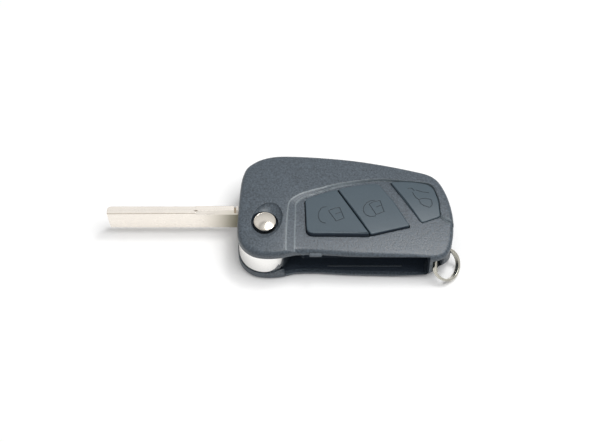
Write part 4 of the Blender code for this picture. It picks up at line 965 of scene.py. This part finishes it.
def makeBlade():
    b = bladeShape
    tip, base, radius = b["tip"], b["base"], b["tipRound"]
    loop = [Vector((tip, b["front"], 0)), Vector((base, b["front"], 0)), Vector((base, b["rear"], 0))]
    loop += arc(Vector((tip + radius, b["rear"] - radius, 0)), radius, 90, 180, b["tipSteps"])
    body = extruded(loop, b["low"], b["top"])
    high = b["top"] - b["low"]
    trimmed(body, (tip, 0, b["top"]), (-high, 0, -b["tipLean"]))
    trimmed(body, (base, 0, b["top"]), (-b["fall"], 0, base - tip))
    rims = [edge for edge in body.edges if edge.calc_face_angle(0) > math.radians(b["rimAngle"])
            and min(end.co.x for end in edge.verts) < base - margin]
    rounded(body, rims, b["round"], b["roundSteps"])
    blade = solidFrom(body, "keyBlade", "blade")
    joined(blade, solidFrom(box(b["tangLow"], b["tangHigh"]), "tang", "blade"))
    step = box((tip - margin, b["stepFront"], b["top"] - b["stepDeep"]), (
        b["neck"], b["rear"] + margin, b["top"] + margin))
    brink = b["front"] + b["chamferWide"]
    chamfer = box((b["neck"], brink - b["chamferDeep"], b["top"]), (
        base + margin, brink, b["top"] + b["chamferHigh"]))
    bmesh.ops.rotate(
        chamfer, cent=(0, brink, b["top"]), matrix=Matrix.Rotation(math.radians(b["chamferTurn"]), 3, "X"),
        verts=chamfer.verts)
    cut(
        blade, solidFrom(step, "bladeStep", "blade"), solidFrom(chamfer, "bladeChamfer", "blade"),
        solidFrom(box(b["notchLow"], b["notchHigh"]), "bladeNotch", "bladeLine"),
        solidFrom(box(b["dashLow"], b["dashHigh"]), "bladeDash", "bladeLine"),
        pinHole("bladePinHole", "blade"))
    # Painted shade: the notch, the dash and the forward-facing rounding along the top front edge ahead of the
    # neck take the darker steel
    darker = [slot.name for slot in blade.data.materials].index(looks["bladeLine"].name)
    least = b["lineNormal"]
    for face in blade.data.polygons:
        if face.normal.y < -least and face.normal.z > least and face.center.x < b["neck"]:
            face.material_index = darker
    finished(blade, "keyBlade", "blade", ["key_blade"], b["sharp"])


# Release button

domeShape = {
    "top": 16.95, "edge": 16.3, "radius": 3.68, "dish": 3.3, "groove": 0.12, "grooveWide": 0.1, "rim": 0.12,
    "flange": 4.85, "flangeTop": 13.65, "flangeLow": 12.15, "shaft": 1.6, "shaftLow": 4.3, "steps": 28,
}


def makeDome():
    d = domeShape
    profile = []
    for step in range(d["steps"] + 1):
        share = step / d["steps"]
        profile.append((d["dish"] * share, d["top"] - (d["top"] - d["edge"]) * share ** 2))
    groove = d["edge"] - d["groove"]
    radius, edge, rim, wide = d["radius"], d["edge"], d["rim"], d["grooveWide"]
    profile += [
        (d["dish"] + wide / 2, groove), (d["dish"] + wide, groove), (radius - rim * 1.5, edge - rim / 3),
        (radius - rim / 2, edge - rim / 2), (radius, edge - rim * 2), (radius, d["flangeTop"]),
        (d["flange"], d["flangeTop"]), (d["flange"], d["flangeLow"]), (d["shaft"], d["flangeLow"]),
        (d["shaft"], d["shaftLow"]), (0, d["shaftLow"]),
    ]
    dome = solidFrom(spun(profile, facets["finest"]), "releaseDome", "dome", "slot")
    # Painted shade: the flange and the side below the rim take the dark slot plastic, so that the gap round
    # the dome reads dark
    for face in dome.data.polygons:
        if face.center.z < d["flangeTop"] + d["rim"]:
            face.material_index = 1
    finished(dome, "releaseDome", "release", ["release_button"])


# Split ring: two flat turns of band with a short crossing between them

ringShape = {
    "radius": 5.16, "band": 0.80, "thick": 0.56, "slit": 0.20, "bandRound": 0.14, "roundSteps": 3,
    "azimuth": -38.5, "tilt": 47.0, "hinge": (57.916, -7.563, 8.485), "crossingAt": -75.0, "crossing": 60.0,
    "steps": 96, "sharp": 50.0,
}


def ringTurn(bm, geometry, angle, rise):
    # Carries the end of the band on round the ring
    steps = round(ringShape["steps"] * angle / 360)
    grown = bmesh.ops.spin(
        bm, geom=geometry, cent=(0, 0, 0), axis=(0, 0, 1), dvec=(0, 0, rise / steps),
        angle=math.radians(angle), space=Matrix.Identity(4), steps=steps, use_merge=False)
    return grown["geom_last"]


def makeRing():
    r = ringShape
    pitch = r["thick"] + r["slit"]
    bm = bmesh.new()
    place = Matrix.Translation((r["radius"], 0, -pitch / 2)) @ Matrix.Rotation(math.radians(90), 4, "X")
    bmesh.ops.create_grid(bm, x_segments=1, y_segments=1, size=0.5, matrix=place)
    bmesh.ops.scale(bm, vec=(r["band"], 1, r["thick"]), space=place.inverted(), verts=bm.verts)
    bmesh.ops.bevel(
        bm, geom=bm.verts[:], offset=r["bandRound"], segments=r["roundSteps"], profile=0.5,
        affect="VERTICES", material=-1)
    bmesh.ops.delete(bm, geom=bm.faces[:], context="FACES_ONLY")
    flat = 360 - r["crossing"]
    end = bm.verts[:] + bm.edges[:]
    bmesh.ops.rotate(
        bm, cent=(0, 0, 0), matrix=Matrix.Rotation(math.radians(r["crossingAt"] + r["crossing"] / 2), 3, "Z"),
        verts=bm.verts)
    for angle, rise in ((flat, 0), (r["crossing"], pitch), (flat, 0)):
        end = ringTurn(bm, end, angle, rise)
    bmesh.ops.remove_doubles(bm, verts=bm.verts, dist=tolerance["ringWeld"])
    bmesh.ops.holes_fill(bm, edges=[edge for edge in bm.edges if edge.is_boundary])
    # The ring hangs from its hinge: outward and down, with the band's axis across
    azimuth = math.radians(r["azimuth"])
    tilt = math.radians(r["tilt"])
    level = Vector((math.cos(azimuth), math.sin(azimuth), 0))
    outward = level * math.cos(tilt) - Vector((0, 0, math.sin(tilt)))
    across = Vector((0, 0, 1)).cross(level)
    turn = Matrix((outward, across, outward.cross(across))).transposed().to_4x4()
    bm.transform(Matrix.Translation(Vector(r["hinge"]) + outward * r["radius"]) @ turn)
    ring = solidFrom(bm, "splitRing", "ring")
    finished(ring, "splitRing", "ring", ["split_ring"], r["sharp"])


makeHub()
makeBlade()
makeDome()
makeRing()

insideLooks = {
    "mat": ["keypad_mat"], "board": ["circuit_board"], "chip": ["controller_chip", "transponder_chip"],
    "contact": ["unlock_switch", "lock_switch", "boot_switch", "radio_crystal", "battery_clip",
                "negative_contact"],
    "cell": ["coin_cell"], "screw": ["blade_pin", "flip_spring", "nose_screw", "tail_screw"],
}
for look, nodes in insideLooks.items():
    for node in nodes:
        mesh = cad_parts[node].data
        mesh.materials.clear()
        mesh.materials.append(looks[look])
print("inner pieces dressed")


# Floor and light

studio = {
    "ambient": 0.37, "keyPlace": (0.31, -0.02, 0.82), "keySize": 0.6, "keyPower": 4.0,
    "bandPlace": (0.115, 0.10, 0.40), "bandSize": 0.09, "bandPower": 0.30,
    "skyStops": [(0.0, 0.46), (0.6, 0.92), (0.84, 1.0), (0.93, 0.5), (0.98, 0.85), (1.0, 0.9)],
    "lampAim": (0.01, 0.005, 0), "floorSize": 3.0, "floorWhite": 0.85, "floorGlow": 0.27,
    "shadowReach": 10.0,
}


def makeFloor():
    bm = bmesh.new()
    bmesh.ops.create_grid(bm, x_segments=1, y_segments=1, size=studio["floorSize"])
    mesh = bpy.data.meshes.new("floor")
    bm.to_mesh(mesh)
    bm.free()
    floor = placed("floor", mesh)
    look = Look(bpy.data.materials.new("floorPaper"))
    seen = look.ray("Camera")
    glossy = look.ray("Glossy")
    white = (studio["floorWhite"],) * 3 + (1,)
    paper = look.add("ShaderNodeBsdfDiffuse", inputs={"Color": white})
    reach = studio["shadowReach"] * millimetre
    # Painted shadow: the glow is darkened by ambient occlusion near the key, so that its contact shadow shows
    # on the glowing floor
    shade = look.add("ShaderNodeAmbientOcclusion", {"samples": samples["floor"]}, {"Distance": reach})
    glow = look.add("ShaderNodeEmission", inputs={
        "Color": shade, "Strength": (seen + glossy) * studio["floorGlow"]})
    both = look.add("ShaderNodeAddShader", inputs={0: paper, 1: glow})
    look.add("ShaderNodeOutputMaterial", inputs={"Surface": both})
    mesh.materials.append(look.holder)


def makeLamp(name, place, size, power):
    data = bpy.data.lights.new(name, "AREA")
    data.shape = "DISK"
    data.size = size
    data.energy = power
    lamp = placed(name, data)
    lamp.location = place
    aim = Vector(studio["lampAim"]) - Vector(place)
    lamp.rotation_euler = aim.to_track_quat("-Z", "Y").to_euler()


def makeWorld():
    world = bpy.data.worlds.new("studio")
    bpy.context.scene.world = world
    look = Look(world)
    seen = look.ray("Camera")
    glossy = look.ray("Glossy")
    through = look.ray("Transmission")
    way = look.add("ShaderNodeTexCoord", out="Generated")
    height = look.add("ShaderNodeSeparateXYZ", inputs={0: way}, out="Z")
    stops = [(place, (tone, tone, tone, 1)) for place, tone in studio["skyStops"]]
    mirrored = look.add("ShaderNodeValToRGB", {"stops": stops}, {0: height})
    diffuse = 1 - look.clamped(seen + glossy + through)
    strength = seen + (glossy + through) * mirrored + diffuse * studio["ambient"]
    sky = look.add("ShaderNodeBackground", inputs={"Color": (1, 1, 1, 1), "Strength": strength})
    look.add("ShaderNodeOutputWorld", inputs={"Surface": sky})


makeFloor()
makeLamp("keyLamp", studio["keyPlace"], studio["keySize"], studio["keyPower"])
makeLamp("bandLamp", studio["bandPlace"], studio["bandSize"], studio["bandPower"])
makeWorld()
bpy.context.scene.view_settings.view_transform = "Standard"
print("studio lit")
